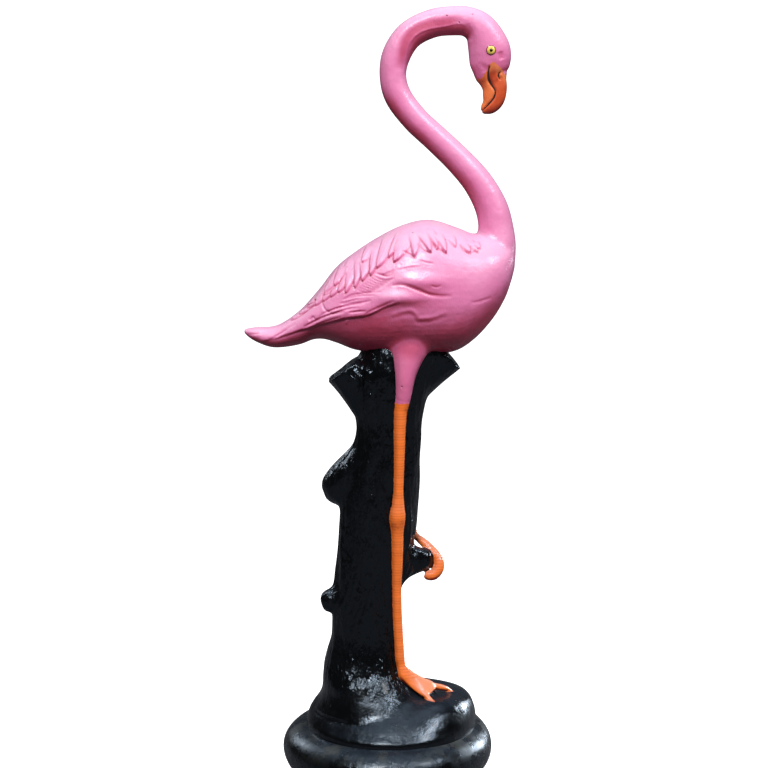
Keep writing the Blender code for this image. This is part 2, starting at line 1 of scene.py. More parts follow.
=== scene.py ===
"""A garden flamingo in painted cast stone.

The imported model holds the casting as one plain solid. Here the bird, the stump with
its two legs, and the base are modelled again on the same sections, finely enough to
carry their carving, and painted in pink, orange and black enamel.

The bird faces +X, the near side is -Y, and the base stands on z = 0 with its axis on
the origin. Sections of the bird are written in millimetres above its belly, and those
of the stump in millimetres above the mound's top.
"""

import logging
import math
from dataclasses import dataclass
from enum import Enum
from typing import Sequence

import bmesh
import bpy
import numpy as np
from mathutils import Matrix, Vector
from mathutils.bvhtree import BVHTree

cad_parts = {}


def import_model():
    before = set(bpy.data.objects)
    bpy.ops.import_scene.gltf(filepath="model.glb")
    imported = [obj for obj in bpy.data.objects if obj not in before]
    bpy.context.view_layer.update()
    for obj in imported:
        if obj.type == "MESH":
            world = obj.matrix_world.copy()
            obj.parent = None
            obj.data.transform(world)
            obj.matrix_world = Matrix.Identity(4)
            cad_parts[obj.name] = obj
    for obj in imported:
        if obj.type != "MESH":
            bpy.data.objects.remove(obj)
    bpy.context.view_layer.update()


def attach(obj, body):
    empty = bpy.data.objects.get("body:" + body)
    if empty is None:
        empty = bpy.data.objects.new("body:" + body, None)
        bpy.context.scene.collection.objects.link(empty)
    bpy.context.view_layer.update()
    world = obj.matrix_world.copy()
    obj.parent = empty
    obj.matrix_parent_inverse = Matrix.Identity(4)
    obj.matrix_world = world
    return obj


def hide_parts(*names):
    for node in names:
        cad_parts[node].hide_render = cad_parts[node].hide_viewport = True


LOG = logging.getLogger("flamingo")
CASTING_NODE = "flamingo_casting"
BODY = "root"
MM = 0.001

Rows = Sequence[Sequence[float]]


@dataclass(frozen=True)
class Casting:
    """Sizes that more than one part of the casting uses, in metres."""

    roll_height: float = 0.0625
    mound_height: float = 0.0365
    stump_height: float = 0.405
    figure_shift: float = -0.0012
    leg_spread: float = 0.0375
    leg_radius: float = 0.0058
    toe_radius: float = 0.0052

    @property
    def mound_top(self) -> float:
        """Height of the mound's top."""
        return self.roll_height + self.mound_height

    @property
    def belly(self) -> float:
        """Height of the bird's belly."""
        return self.mound_top + self.stump_height

    def on_bird(self, x: float, z: float, y: float = 0.0) -> tuple[float, float, float]:
        """A point written in millimetres on the bird, in metres."""
        return (self.figure_shift + x * MM, y * MM, self.belly + z * MM)

    def on_stump(self, x: float, y: float, z: float) -> tuple[float, float, float]:
        """A point written in millimetres on the stump, in metres."""
        return (self.figure_shift + x * MM, y * MM, self.mound_top + z * MM)

    def leg_rows(self, rows: Rows, side: float = -1.0) -> Rows:
        """Places the rows of a leg.

        Args:
            rows: x, share of the leg spread, z above the mound, share of the leg's radius.
            side: -1 for the near leg, 1 for the far one.

        Returns:
            The rows in metres, ready for a sweep.
        """
        radius = self.leg_radius
        return [
            (*self.on_stump(x, side * y * self.leg_spread / MM, z), share * radius, share * radius)
            for x, y, z, share in rows
        ]


def smooth_through(rows: Rows, steps: int) -> np.ndarray:
    """Puts a smooth curve through rows of numbers.

    Args:
        rows: the rows that the curve passes through.
        steps: how many rows to make from each one to the next.

    Returns:
        The rows of the curve.
    """
    known = np.asarray(rows, float)
    padded = np.vstack([2 * known[0] - known[1], known, 2 * known[-1] - known[-2]])
    found = []
    for span in range(len(known) - 1):
        before, start, end, after = padded[span : span + 4]
        for step in range(steps):
            t = step / steps
            found.append(
                0.5 * (2 * start + (end - before) * t
                       + (2 * before - 5 * start + 4 * end - after) * t**2
                       + (3 * start - before - 3 * end + after) * t**3)
            )
    found.append(known[-1])
    return np.array(found)


def smoothstep(low: float, high: float, value: np.ndarray) -> np.ndarray:
    """Rises smoothly from 0 at low to 1 at high.

    Args:
        low: where the rise starts.
        high: where it ends; below low it falls instead.
        value: the numbers to map.

    Returns:
        The mapped numbers.
    """
    t = np.clip((value - low) / (high - low), 0.0, 1.0)
    return t * t * (3 - 2 * t)


def bell(distance: np.ndarray, half_width: float) -> np.ndarray:
    """A soft bump that is 1 at no distance and dies away past its half width."""
    return np.exp(-((distance / half_width) ** 2))


def link_mesh(name: str, mesh: bmesh.types.BMesh) -> bpy.types.Object:
    """Makes an object of a finished mesh, links it to the scene and lets the mesh go."""
    data = bpy.data.meshes.new(name)
    mesh.to_mesh(data)
    mesh.free()
    piece = bpy.data.objects.new(name, data)
    bpy.context.scene.collection.objects.link(piece)
    return piece


class Shells:
    """Closed skins that overlap and are cast into one surface."""

    SIDES = 64
    STEPS = 8

    def __init__(self) -> None:
        """Starts with no skin."""
        self.mesh = bmesh.new()

    def ring(self, centre: np.ndarray, first: np.ndarray, second: np.ndarray,
             a: float, b: float, power: float) -> np.ndarray:
        """Makes one closed ring of points.

        Args:
            centre: the ring's middle.
            first: direction of the first half axis.
            second: direction of the second half axis.
            a: first half axis.
            b: second half axis.
            power: 2 for an ellipse, more for squarer.

        Returns:
            The ring's points.
        """
        angles = np.linspace(0, 2 * math.pi, self.SIDES, endpoint=False)
        cos, sin = np.cos(angles), np.sin(angles)
        u = a * np.sign(cos) * np.abs(cos) ** (2 / power)
        v = b * np.sign(sin) * np.abs(sin) ** (2 / power)
        return centre + np.outer(u, first) + np.outer(v, second)

    def loft(self, rings: Sequence[np.ndarray]) -> None:
        """Adds a skin over a row of rings, closed at both ends."""
        made = [[self.mesh.verts.new(point) for point in ring] for ring in rings]
        self.mesh.faces.new(made[0][::-1])
        self.mesh.faces.new(made[-1])
        for low, high in zip(made, made[1:]):
            for i in range(len(low)):
                j = (i + 1) % len(low)
                self.mesh.faces.new((low[i], low[j], high[j], high[i]))

    def sweep(self, rows: Rows, power: float = 2.0) -> None:
        """Adds a skin round a path.

        Args:
            rows: x, y, z, half axis in side view and half axis towards Y.
            power: 2 for an elliptical section, more for squarer.
        """
        dense = smooth_through(rows, self.STEPS)
        tangents = np.gradient(dense[:, :3], axis=0)
        tangents /= np.linalg.norm(tangents, axis=1)[:, None]
        rings = []
        for (x, y, z, a, b), tangent in zip(dense, tangents):
            side = np.array([0.0, 1.0, 0.0]) - tangent * tangent[1]
            side /= np.linalg.norm(side)
            out = np.cross(side, tangent)
            rings.append(self.ring(np.array([x, y, z]), out, side, a, b, power))
        self.loft(rings)

    def tree(self) -> BVHTree:
        """A search tree of the skins, which are then let go."""
        found = BVHTree.FromBMesh(self.mesh)
        self.mesh.free()
        return found

    def link(self, name: str) -> bpy.types.Object:
        """Makes an object of the skins as they are, facing out."""
        bmesh.ops.recalc_face_normals(self.mesh, faces=self.mesh.faces)
        return link_mesh(name, self.mesh)

    def cast(self, name: str, voxel: float, softening: int) -> bpy.types.Object:
        """Casts the skins into one closed surface.

        Args:
            name: the new piece's name.
            voxel: the fineness of the casting, in metres.
            softening: how many times the surface is eased.

        Returns:
            The piece, linked to the scene.
        """
        piece = self.link(name)
        rough = piece.data
        remesh = piece.modifiers.new("Cast", "REMESH")
        remesh.mode = "VOXEL"
        remesh.voxel_size = voxel
        ease = piece.modifiers.new("Ease", "SMOOTH")
        ease.factor = 0.5
        ease.iterations = softening
        graph = bpy.context.evaluated_depsgraph_get()
        piece.data = bpy.data.meshes.new_from_object(piece.evaluated_get(graph))
        piece.modifiers.clear()
        bpy.data.meshes.remove(rough)
        piece.data.name = name
        return piece


class Surface:
    """The points of a piece, for carving and for values that its paint reads."""

    CREASE_RISE = 0.8
    READ_EVERY = 6

    def __init__(self, piece: bpy.types.Object) -> None:
        """Reads the piece's points and normals."""
        self.piece = piece
        self.read()

    def read(self) -> None:
        """Reads the points and normals again."""
        mesh = self.piece.data
        count = len(mesh.vertices)
        points = np.empty(count * 3)
        mesh.vertices.foreach_get("co", points)
        self.points = points.reshape(-1, 3)
        normals = np.empty(count * 3)
        mesh.vertex_normals.foreach_get("vector", normals)
        self.normals = normals.reshape(-1, 3)

    def side_view(self) -> tuple[np.ndarray, np.ndarray]:
        """The points' places in side view, in world millimetres."""
        return self.points[:, 0] / MM, self.points[:, 2] / MM

    def write(self) -> None:
        """Puts the moved points into the mesh and reads them again."""
        self.piece.data.vertices.foreach_set("co", self.points.ravel())
        self.piece.data.update()
        self.read()

    def raise_by(self, height: np.ndarray) -> None:
        """Moves each point out along its normal, or in where height is negative."""
        self.points = self.points + self.normals * height[:, None]
        self.write()

    def fill_creases(self, rounds: int, free: np.ndarray) -> None:
        """Fills the sharp creases where skins meet, and leaves the edges that stand out.

        Args:
            rounds: how many times the hollows rise a little.
            free: how far each point may move, from 0 to 1.
        """
        mesh = self.piece.data
        edges = np.empty(len(mesh.edges) * 2, dtype=np.int32)
        mesh.edges.foreach_get("vertices", edges)
        one, other = edges.reshape(-1, 2).T
        count = len(self.points)
        shared = np.bincount(one, minlength=count) + np.bincount(other, minlength=count)
        for step in range(rounds):
            total = np.zeros_like(self.points)
            for axis in range(3):
                total[:, axis] = np.bincount(one, self.points[other, axis], count)
                total[:, axis] += np.bincount(other, self.points[one, axis], count)
            off = total / shared[:, None] - self.points
            inward = np.clip(np.einsum("ij,ij->i", off, self.normals), 0, None)
            self.points = self.points + self.normals * (self.CREASE_RISE * free * inward)[:, None]
            if (step + 1) % self.READ_EVERY == 0 or step == rounds - 1:
                self.write()

    def keep(self, name: str, values: np.ndarray) -> None:
        """Stores a number at each point, under a name that a material reads."""
        attribute = self.piece.data.attributes.new(name, "FLOAT", "POINT")
        attribute.data.foreach_set("value", np.asarray(values, np.float32))

    def distance_to(self, tree: BVHTree, near: np.ndarray) -> np.ndarray:
        """Measures how far points are from a skin.

        Args:
            tree: the skin's search tree.
            near: True for each point to measure.

        Returns:
            The distances, and a large one for the points left out.
        """
        found = np.full(len(self.points), 1.0)
        for i in np.flatnonzero(near):
            found[i] = tree.find_nearest(Vector(self.points[i]))[3]
        return found


class Cut(Enum):
    """The shape that a tool mark has across."""

    GROOVE = "groove"
    RIDGE = "ridge"
    LIP = "lip"


@dataclass(frozen=True)
class Mark:
    """A tool mark drawn in side view, in millimetres."""

    line: tuple[tuple[float, float], ...]
    width: float
    depth: float
    cut: Cut = Cut.GROOVE
    fall: float = 6.0

    def relief(self, x: np.ndarray, z: np.ndarray) -> np.ndarray:
        """Height that the mark adds at points, in millimetres.

        Args:
            x: the points' places along the bird.
            z: the points' heights.

        Returns:
            The added heights.
        """
        path = smooth_through(self.line, 6) if len(self.line) > 2 else np.array(self.line)
        reach = 3 * self.width + (3 * self.fall if self.cut is Cut.LIP else 0)
        near = (
            (x > path[:, 0].min() - reach) & (x < path[:, 0].max() + reach)
            & (z > path[:, 1].min() - reach) & (z < path[:, 1].max() + reach)
        )
        added = np.zeros_like(x)
        if not near.any():
            return added
        nearest, place = self.nearest(np.column_stack([x[near], z[near]]), path)
        taper = np.sqrt(np.clip(4 * place * (1 - place), 0, 1))
        if self.cut is Cut.LIP:
            proud = smoothstep(-self.width, self.width, nearest) * np.exp(
                -np.clip(nearest, 0, None) / self.fall
            )
            added[near] = self.depth * taper * proud
        else:
            sign = 1 if self.cut is Cut.RIDGE else -1
            added[near] = sign * self.depth * taper * bell(nearest, self.width)
        return added

    @staticmethod
    def nearest(points: np.ndarray, path: np.ndarray) -> tuple[np.ndarray, np.ndarray]:
        """Finds the nearest place on a path.

        Args:
            points: the points to place.
            path: the path's points.

        Returns:
            Distances, positive to the path's left, and places from 0 to 1 along it.
        """
        best = np.full(len(points), np.inf)
        signed = np.zeros(len(points))
        place = np.zeros(len(points))
        lengths = np.linalg.norm(np.diff(path, axis=0), axis=1)
        so_far = 0.0
        for start, end, length in zip(path, path[1:], lengths):
            ahead = (end - start) / length
            off = points - start
            along = np.clip(off @ ahead, 0, length)
            gap = off - np.outer(along, ahead)
            distance = np.linalg.norm(gap, axis=1)
            closer = distance < best
            side = np.where(ahead[0] * off[:, 1] - ahead[1] * off[:, 0] > 0, 1, -1)
            best = np.where(closer, distance, best)
            signed = np.where(closer, side * distance, signed)
            place = np.where(closer, (so_far + along) / lengths.sum(), place)
            so_far += length
        return signed, place


@dataclass(frozen=True)
class Feather:
    """One feather of the wing in side view, in millimetres."""

    root: tuple[float, float]
    tip: tuple[float, float]
    half_width: float
    lift: float
    bend: float = 0.0

    # Shares of the lift: how the crown falls to its edges, its lean, the shaft, the barbs
    CROWN_FALL = 0.60
    CROWN_LEAN = 0.16
    SHAFT = 0.12
    BARBS = 0.09
    # The groove round the tip in millimetres, and how much painted shade lies in it
    GROOVE = 0.7
    GROOVE_SHADE = 0.8

    def lay(self, x: np.ndarray, z: np.ndarray, height: np.ndarray, hollow: np.ndarray) -> None:
        """Lays the feather over what is carved so far.

        Args:
            x: the points' places along the bird.
            z: the points' heights.
            height: the carved height at each point, which is changed.
            hollow: how much painted shade each point takes in a groove, which is changed.
        """
        run, fall = self.tip[0] - self.root[0], self.tip[1] - self.root[1]
        length = math.hypot(run, fall)
        ahead_x, ahead_z = run / length, fall / length
        off_x, off_z = x - self.root[0], z - self.root[1]
        share = (off_x * ahead_x + off_z * ahead_z) / length
        near = (share > -0.3) & (share < 1.3)
        across = off_z * ahead_x - off_x * ahead_z
        near &= np.abs(across) < 3 * self.half_width
        share, across = share[near], across[near]
        along = np.clip(share, 0, 1)
        across = across - self.bend * self.half_width * np.sin(math.pi * along) ** 1.2
        outline = self.half_width * np.clip(1 - along**2.6, 0, 1) ** 0.75
        over = np.maximum(share - 1, 0) * length
        from_edge = outline - np.hypot(across, over)
        plate = smoothstep(-0.35, 0.75, from_edge) * smoothstep(-0.05, 0.15, share)
        side = np.clip(across / np.maximum(outline, 0.6), -1, 1)
        crown = 1 - self.CROWN_FALL * side**2 - self.CROWN_LEAN * side
        shaft = self.SHAFT * bell(across, 0.8)
        waves = np.sin(2.3 * across + 0.3 * self.root[0])
        barbs = self.BARBS * waves * smoothstep(0, 0.4, along)
        lifted = self.lift * (0.15 + 0.85 * along) * (crown + shaft + barbs)
        groove = bell(from_edge + 0.55, 0.65) * smoothstep(0.1, 0.5, share)
        height[near] = height[near] * (1 - plate) + lifted * plate - self.GROOVE * groove
        hollow[near] = np.clip(hollow[near] * (1 - plate) + self.GROOVE_SHADE * groove, 0, 1)


class NodeSheet:
    """Short ways to write a shader's nodes."""

    def __init__(self, tree: bpy.types.NodeTree) -> None:
        """Keeps the tree."""
        self.tree = tree

    def put(self, kind: str, **inputs: object) -> bpy.types.Node:
        """Adds a node.

        Args:
            kind: the node's type, without ShaderNode.
            inputs: what each input is linked to or set to; a name with a leading
                underscore is a property of the node.

        Returns:
            The node.
        """
        node = self.tree.nodes.new("ShaderNode" + kind)
        for name, value in inputs.items():
            if name.startswith("_"):
                setattr(node, name[1:], value)
        for name, value in inputs.items():
            if not name.startswith("_"):
                self.feed(node, name, value)
        return node

    def feed(self, node: bpy.types.Node, name: str, value: object) -> None:
        """Links a socket to one of a node's inputs, or sets the input's value."""
        if name[:1] == "i" and name[1:].isdigit():
            socket = node.inputs[int(name[1:])]
        else:
            socket = node.inputs[name.replace("_", " ")]
        if isinstance(value, bpy.types.NodeSocket):
            self.tree.links.new(value, socket)
        else:
            socket.default_value = value

    @property
    def shader(self) -> bpy.types.Node:
        """The material's main shader."""
        return self.tree.nodes["Principled BSDF"]

    def math(self, operation: str, first: object, second: object = 0.0,
             clamp: bool = False) -> bpy.types.NodeSocket:
        """Works one number out of two."""
        node = self.put("Math", _operation=operation, _use_clamp=clamp, i0=first, i1=second)
        return node.outputs[0]

    def times(self, first: object, second: object, clamp: bool = False) -> bpy.types.NodeSocket:
        """Multiplies two numbers."""
        return self.math("MULTIPLY", first, second, clamp)

    def times_plus(self, value: object, factor: float, more: object) -> bpy.types.NodeSocket:
        """Multiplies a number by a factor and adds more to it."""
        return self.put("Math", _operation="MULTIPLY_ADD", i0=value, i1=factor, i2=more).outputs[0]

    def ramp(self, value: object, low: float, high: float,
             out_low: float = 0.0, out_high: float = 1.0) -> bpy.types.NodeSocket:
        """Maps low to high smoothly onto the two output values."""
        node = self.put("MapRange", _interpolation_type="SMOOTHSTEP", Value=value, From_Min=low,
                        From_Max=high, To_Min=out_low, To_Max=out_high)
        return node.outputs[0]

    def blend(self, share: object, first: object, second: object) -> bpy.types.NodeSocket:
        """Mixes two colours."""
        return self.put("Mix", _data_type="RGBA", i0=share, i6=first, i7=second).outputs[2]

    def stored(self, name: str) -> bpy.types.NodeSocket:
        """A number that the mesh keeps at its points."""
        return self.put("Attribute", _attribute_name=name).outputs["Fac"]

    def on_piece(self) -> bpy.types.NodeSocket:
        """A point's place on its own piece."""
        return self.put("TexCoord").outputs["Object"]

    def facing_up(self) -> bpy.types.NodeSocket:
        """How far the surface faces up, from -1 to 1."""
        normal = self.put("NewGeometry").outputs["Normal"]
        return self.put("SeparateXYZ", i0=normal).outputs[2]

    def noise(self, place: object, scale: object, detail: float,
              roughness: float = 0.5) -> bpy.types.NodeSocket:
        """Soft noise at a place."""
        node = self.put("TexNoise", Vector=place, Scale=scale, Detail=detail, Roughness=roughness)
        return node.outputs[0]


class Effects:
    """Node groups that the enamels share."""

    def __init__(self) -> None:
        """Builds the groups."""
        self.brushing = self.build_brushing()
        self.pitting = self.build_pitting()
        self.dusting = self.build_dusting()

    @staticmethod
    def begin(name: str, inputs: dict[str, float], outputs: Sequence[str]
              ) -> tuple[NodeSheet, bpy.types.Node, bpy.types.Node]:
        """Starts a group.

        Args:
            name: the group's name.
            inputs: its number inputs with their first values.
            outputs: its number outputs.

        Returns:
            The sheet to write on, the input node and the output node.
        """
        group = bpy.data.node_groups.new(name, "ShaderNodeTree")
        for title, value in inputs.items():
            socket = group.interface.new_socket(title, in_out="INPUT", socket_type="NodeSocketFloat")
            socket.default_value = value
        for title in outputs:
            group.interface.new_socket(title, in_out="OUTPUT", socket_type="NodeSocketFloat")
        entry = group.nodes.new("NodeGroupInput")
        leave = group.nodes.new("NodeGroupOutput")
        return NodeSheet(group), entry, leave

    def build_brushing(self) -> bpy.types.NodeTree:
        """Brush marks: fine streaks along the form and slow swells of thick enamel."""
        sheet, entry, leave = self.begin(
            "brush_marks", {"Fineness": 900.0, "Stretch": 0.12}, ["Height", "Mottle"]
        )
        place = sheet.on_piece()
        parts = sheet.put("SeparateXYZ", i0=place)
        squeezed = sheet.times(parts.outputs[2], entry.outputs["Stretch"])
        streak = sheet.put("CombineXYZ", i0=parts.outputs[0], i1=parts.outputs[1], i2=squeezed)
        fine = sheet.noise(streak.outputs[0], entry.outputs["Fineness"], 3.0, 0.6)
        slow = sheet.noise(place, 70.0, 3.0, 0.55)
        broad = sheet.noise(place, 18.0, 2.0)
        sheet.feed(leave, "Height", sheet.times_plus(fine, 0.35, sheet.times(slow, 1.6)))
        sheet.feed(leave, "Mottle", sheet.ramp(sheet.math("ADD", slow, broad), 0.8, 1.2))
        return sheet.tree

    def build_pitting(self) -> bpy.types.NodeTree:
        """Small round holes left by air in the casting, few and scattered."""
        sheet, entry, leave = self.begin("cast_pits", {"Spacing": 60.0, "Share": 0.09}, ["Pits"])
        cells = sheet.put("TexVoronoi", _feature="F1", Vector=sheet.on_piece(),
                          Scale=entry.outputs["Spacing"])
        chance = sheet.put("SeparateColor", i0=cells.outputs["Color"]).outputs[0]
        size = entry.outputs["Share"]
        inside = sheet.math("SUBTRACT", size, cells.outputs["Distance"])
        hole = sheet.math("DIVIDE", inside, size, clamp=True)
        sheet.feed(leave, "Pits", sheet.times(hole, sheet.ramp(chance, 0.62, 0.66)))
        return sheet.tree

    def build_dusting(self) -> bpy.types.NodeTree:
        """Dust that lies where the surface faces up, in soft patches."""
        sheet, entry, leave = self.begin("dust", {"Amount": 0.5}, ["Dust"])
        patch = sheet.noise(sheet.on_piece(), 38.0, 5.0, 0.65)
        facing = sheet.ramp(sheet.facing_up(), 0.25, 0.95)
        share = sheet.times(facing, sheet.ramp(patch, 0.45, 0.68))
        sheet.feed(leave, "Dust", sheet.times(share, entry.outputs["Amount"]))
        return sheet.tree


@dataclass(frozen=True)
class Enamel:
    """One colour of brushed enamel with its copies in painted shade and painted light, in linear RGB.
    """

    colour: tuple[float, float, float]
    # deep is the colour in painted shade where the surface faces down, pale the colour in painted light
    # where it faces up
    deep: tuple[float, float, float]
    pale: tuple[float, float, float]
    # Where the painted light starts and where it is full, by how far the surface faces up
    pale_from: float = -0.15
    pale_to: float = 0.85


PINK = Enamel((0.760, 0.195, 0.410), (0.500, 0.048, 0.105), (0.830, 0.400, 0.590), -0.28, 0.90)
ORANGE = Enamel((0.970, 0.205, 0.028), (0.340, 0.034, 0.008), (0.760, 0.260, 0.140))
BEAK = Enamel((0.640, 0.090, 0.024), (0.300, 0.024, 0.010), (0.800, 0.240, 0.110))
LOWER_BEAK = Enamel((0.820, 0.185, 0.050), (0.520, 0.075, 0.020), (0.860, 0.300, 0.130))
# Black's pale colour is a painted bluish reflection of the sky on what faces up
BLACK = Enamel((0.0016, 0.0017, 0.0020), (0.0008, 0.0008, 0.001), (0.016, 0.023, 0.034), 0.45, 1.3)
YELLOW = Enamel((0.820, 0.620, 0.110), (0.420, 0.300, 0.060), (0.880, 0.700, 0.200))
# ROSE is the dark ring round each eye, a painted shadow
ROSE = Enamel((0.180, 0.030, 0.060), (0.100, 0.015, 0.030), (0.260, 0.050, 0.090))
BEAK_BY_FEATHERS = (0.86, 0.26, 0.10, 1.0)
MOUTH_SHADOW = (0.035, 0.010, 0.006, 1.0)
PIT_SHADOW = (0.02, 0.01, 0.012, 1.0)


@dataclass(frozen=True)
class Gloss:
    """How an enamel shines and how rough its brushing stands."""

    roughness: float = 0.34
    spread: float = 0.12
    coat: float = 0.25
    coat_roughness: float = 0.12
    brush_depth: float = 0.0006
    pit_depth: float = 0.0008
    dust: float = 0.3
    dust_colour: tuple[float, float, float] = (0.62, 0.50, 0.50)
    tint: tuple[float, float, float] = (1.0, 1.0, 1.0)


BIRD_GLOSS = Gloss(roughness=0.37, spread=0.16, coat=0.09, coat_roughness=0.26, brush_depth=0.0007)
STUMP_GLOSS = Gloss(roughness=0.20, spread=0.14, coat=0.08, brush_depth=0.0007, dust=0.03,
                    dust_colour=(0.15, 0.14, 0.10), tint=(0.66, 0.82, 1.0))
BASE_GLOSS = Gloss(roughness=0.25, spread=0.16, coat=0.06, brush_depth=0.0008, dust=0.22,
                   dust_colour=(0.115, 0.105, 0.060), tint=(0.66, 0.82, 1.0))
EYE_GLOSS = Gloss(roughness=0.22, coat=0.4, brush_depth=0.0002, pit_depth=0.0, dust=0.05)


class Painter:
    """Makes the enamel materials from the shared effects."""

    PIT_DARKNESS = 0.7
    DUST_ROUGHNESS = 0.45
    # Where painted shade starts on what faces down, and how far the mottling moves that line
    DEEP_FROM = 0.22
    DEEP_TO = -0.32
    MOTTLE = 0.5

    def __init__(self) -> None:
        """Builds the shared effects."""
        self.effects = Effects()

    def enamelled(self, name: str, gloss: Gloss) -> tuple[bpy.types.Material, NodeSheet]:
        """Starts a material.

        Args:
            name: the material's name.
            gloss: how it shines.

        Returns:
            The material and the sheet to write its nodes on.
        """
        material = bpy.data.materials.new(name)
        material.use_nodes = True
        sheet = NodeSheet(material.node_tree)
        settings = {
            "Metallic": 0.0, "IOR": 1.5, "Specular Tint": (*gloss.tint, 1.0),
            "Coat Weight": gloss.coat, "Coat Roughness": gloss.coat_roughness,
        }
        for socket, value in settings.items():
            sheet.feed(sheet.shader, socket, value)
        return material, sheet

    def finish(self, sheet: NodeSheet, gloss: Gloss, colour: object,
               extra_height: object = None) -> None:
        """Adds brushing, pits and dust to a colour and feeds the shader.

        Args:
            sheet: the material's sheet.
            gloss: how it shines.
            colour: the colour's socket.
            extra_height: more relief in metres, as a socket.
        """
        brush = sheet.put("Group", _node_tree=self.effects.brushing)
        pits = sheet.put("Group", _node_tree=self.effects.pitting).outputs["Pits"]
        dust = sheet.put("Group", _node_tree=self.effects.dusting, Amount=gloss.dust).outputs["Dust"]
        dusty = sheet.blend(dust, colour, (*gloss.dust_colour, 1.0))
        pitted = sheet.times(pits, self.PIT_DARKNESS, clamp=True)
        sheet.feed(sheet.shader, "Base_Color", sheet.blend(pitted, dusty, PIT_SHADOW))
        least = gloss.roughness - gloss.spread / 2
        rough = sheet.times_plus(brush.outputs["Mottle"], gloss.spread, least)
        sheet.feed(sheet.shader, "Roughness", sheet.times_plus(dust, self.DUST_ROUGHNESS, rough))
        height = sheet.times(brush.outputs["Height"], gloss.brush_depth)
        height = sheet.math("ADD", height, sheet.times(pits, -gloss.pit_depth))
        if extra_height is not None:
            height = sheet.math("ADD", height, extra_height)
        bump = sheet.put("Bump", Height=height, Strength=1.0, Distance=1.0)
        sheet.feed(sheet.shader, "Normal", bump.outputs[0])

    def shade(self, sheet: NodeSheet, enamel: Enamel, hollow: object,
              mottle_scale: float = 22.0) -> bpy.types.NodeSocket:
        """The enamel's colour: painted light on top, painted shade below and in hollows, a little
        mottled.
        """
        patch = sheet.noise(sheet.on_piece(), mottle_scale, 4.0)
        # How far the surface faces up, a little mottled, sets the painted light and the painted shade
        facing_light = sheet.times_plus(patch, self.MOTTLE, sheet.facing_up())
        usual = self.MOTTLE / 2
        lighter = sheet.ramp(facing_light, enamel.pale_from + usual, enamel.pale_to + usual)
        mixed = sheet.blend(lighter, (*enamel.colour, 1.0), (*enamel.pale, 1.0))
        deeper = sheet.math("MAXIMUM", sheet.ramp(facing_light, self.DEEP_FROM, self.DEEP_TO), hollow)
        return sheet.blend(deeper, mixed, (*enamel.deep, 1.0))


class Piece:
    """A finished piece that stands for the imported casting."""

    @staticmethod
    def place(piece: bpy.types.Object, material: bpy.types.Material) -> bpy.types.Object:
        """Gives the piece its material and puts it in the casting's place."""
        piece.data.materials.clear()
        piece.data.materials.append(material)
        piece.data.shade_smooth()
        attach(piece, BODY)
        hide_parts(CASTING_NODE)
        triangles = sum(len(face.vertices) - 2 for face in piece.data.polygons)
        LOG.info("%s: %d triangles", piece.name, triangles)
        return piece


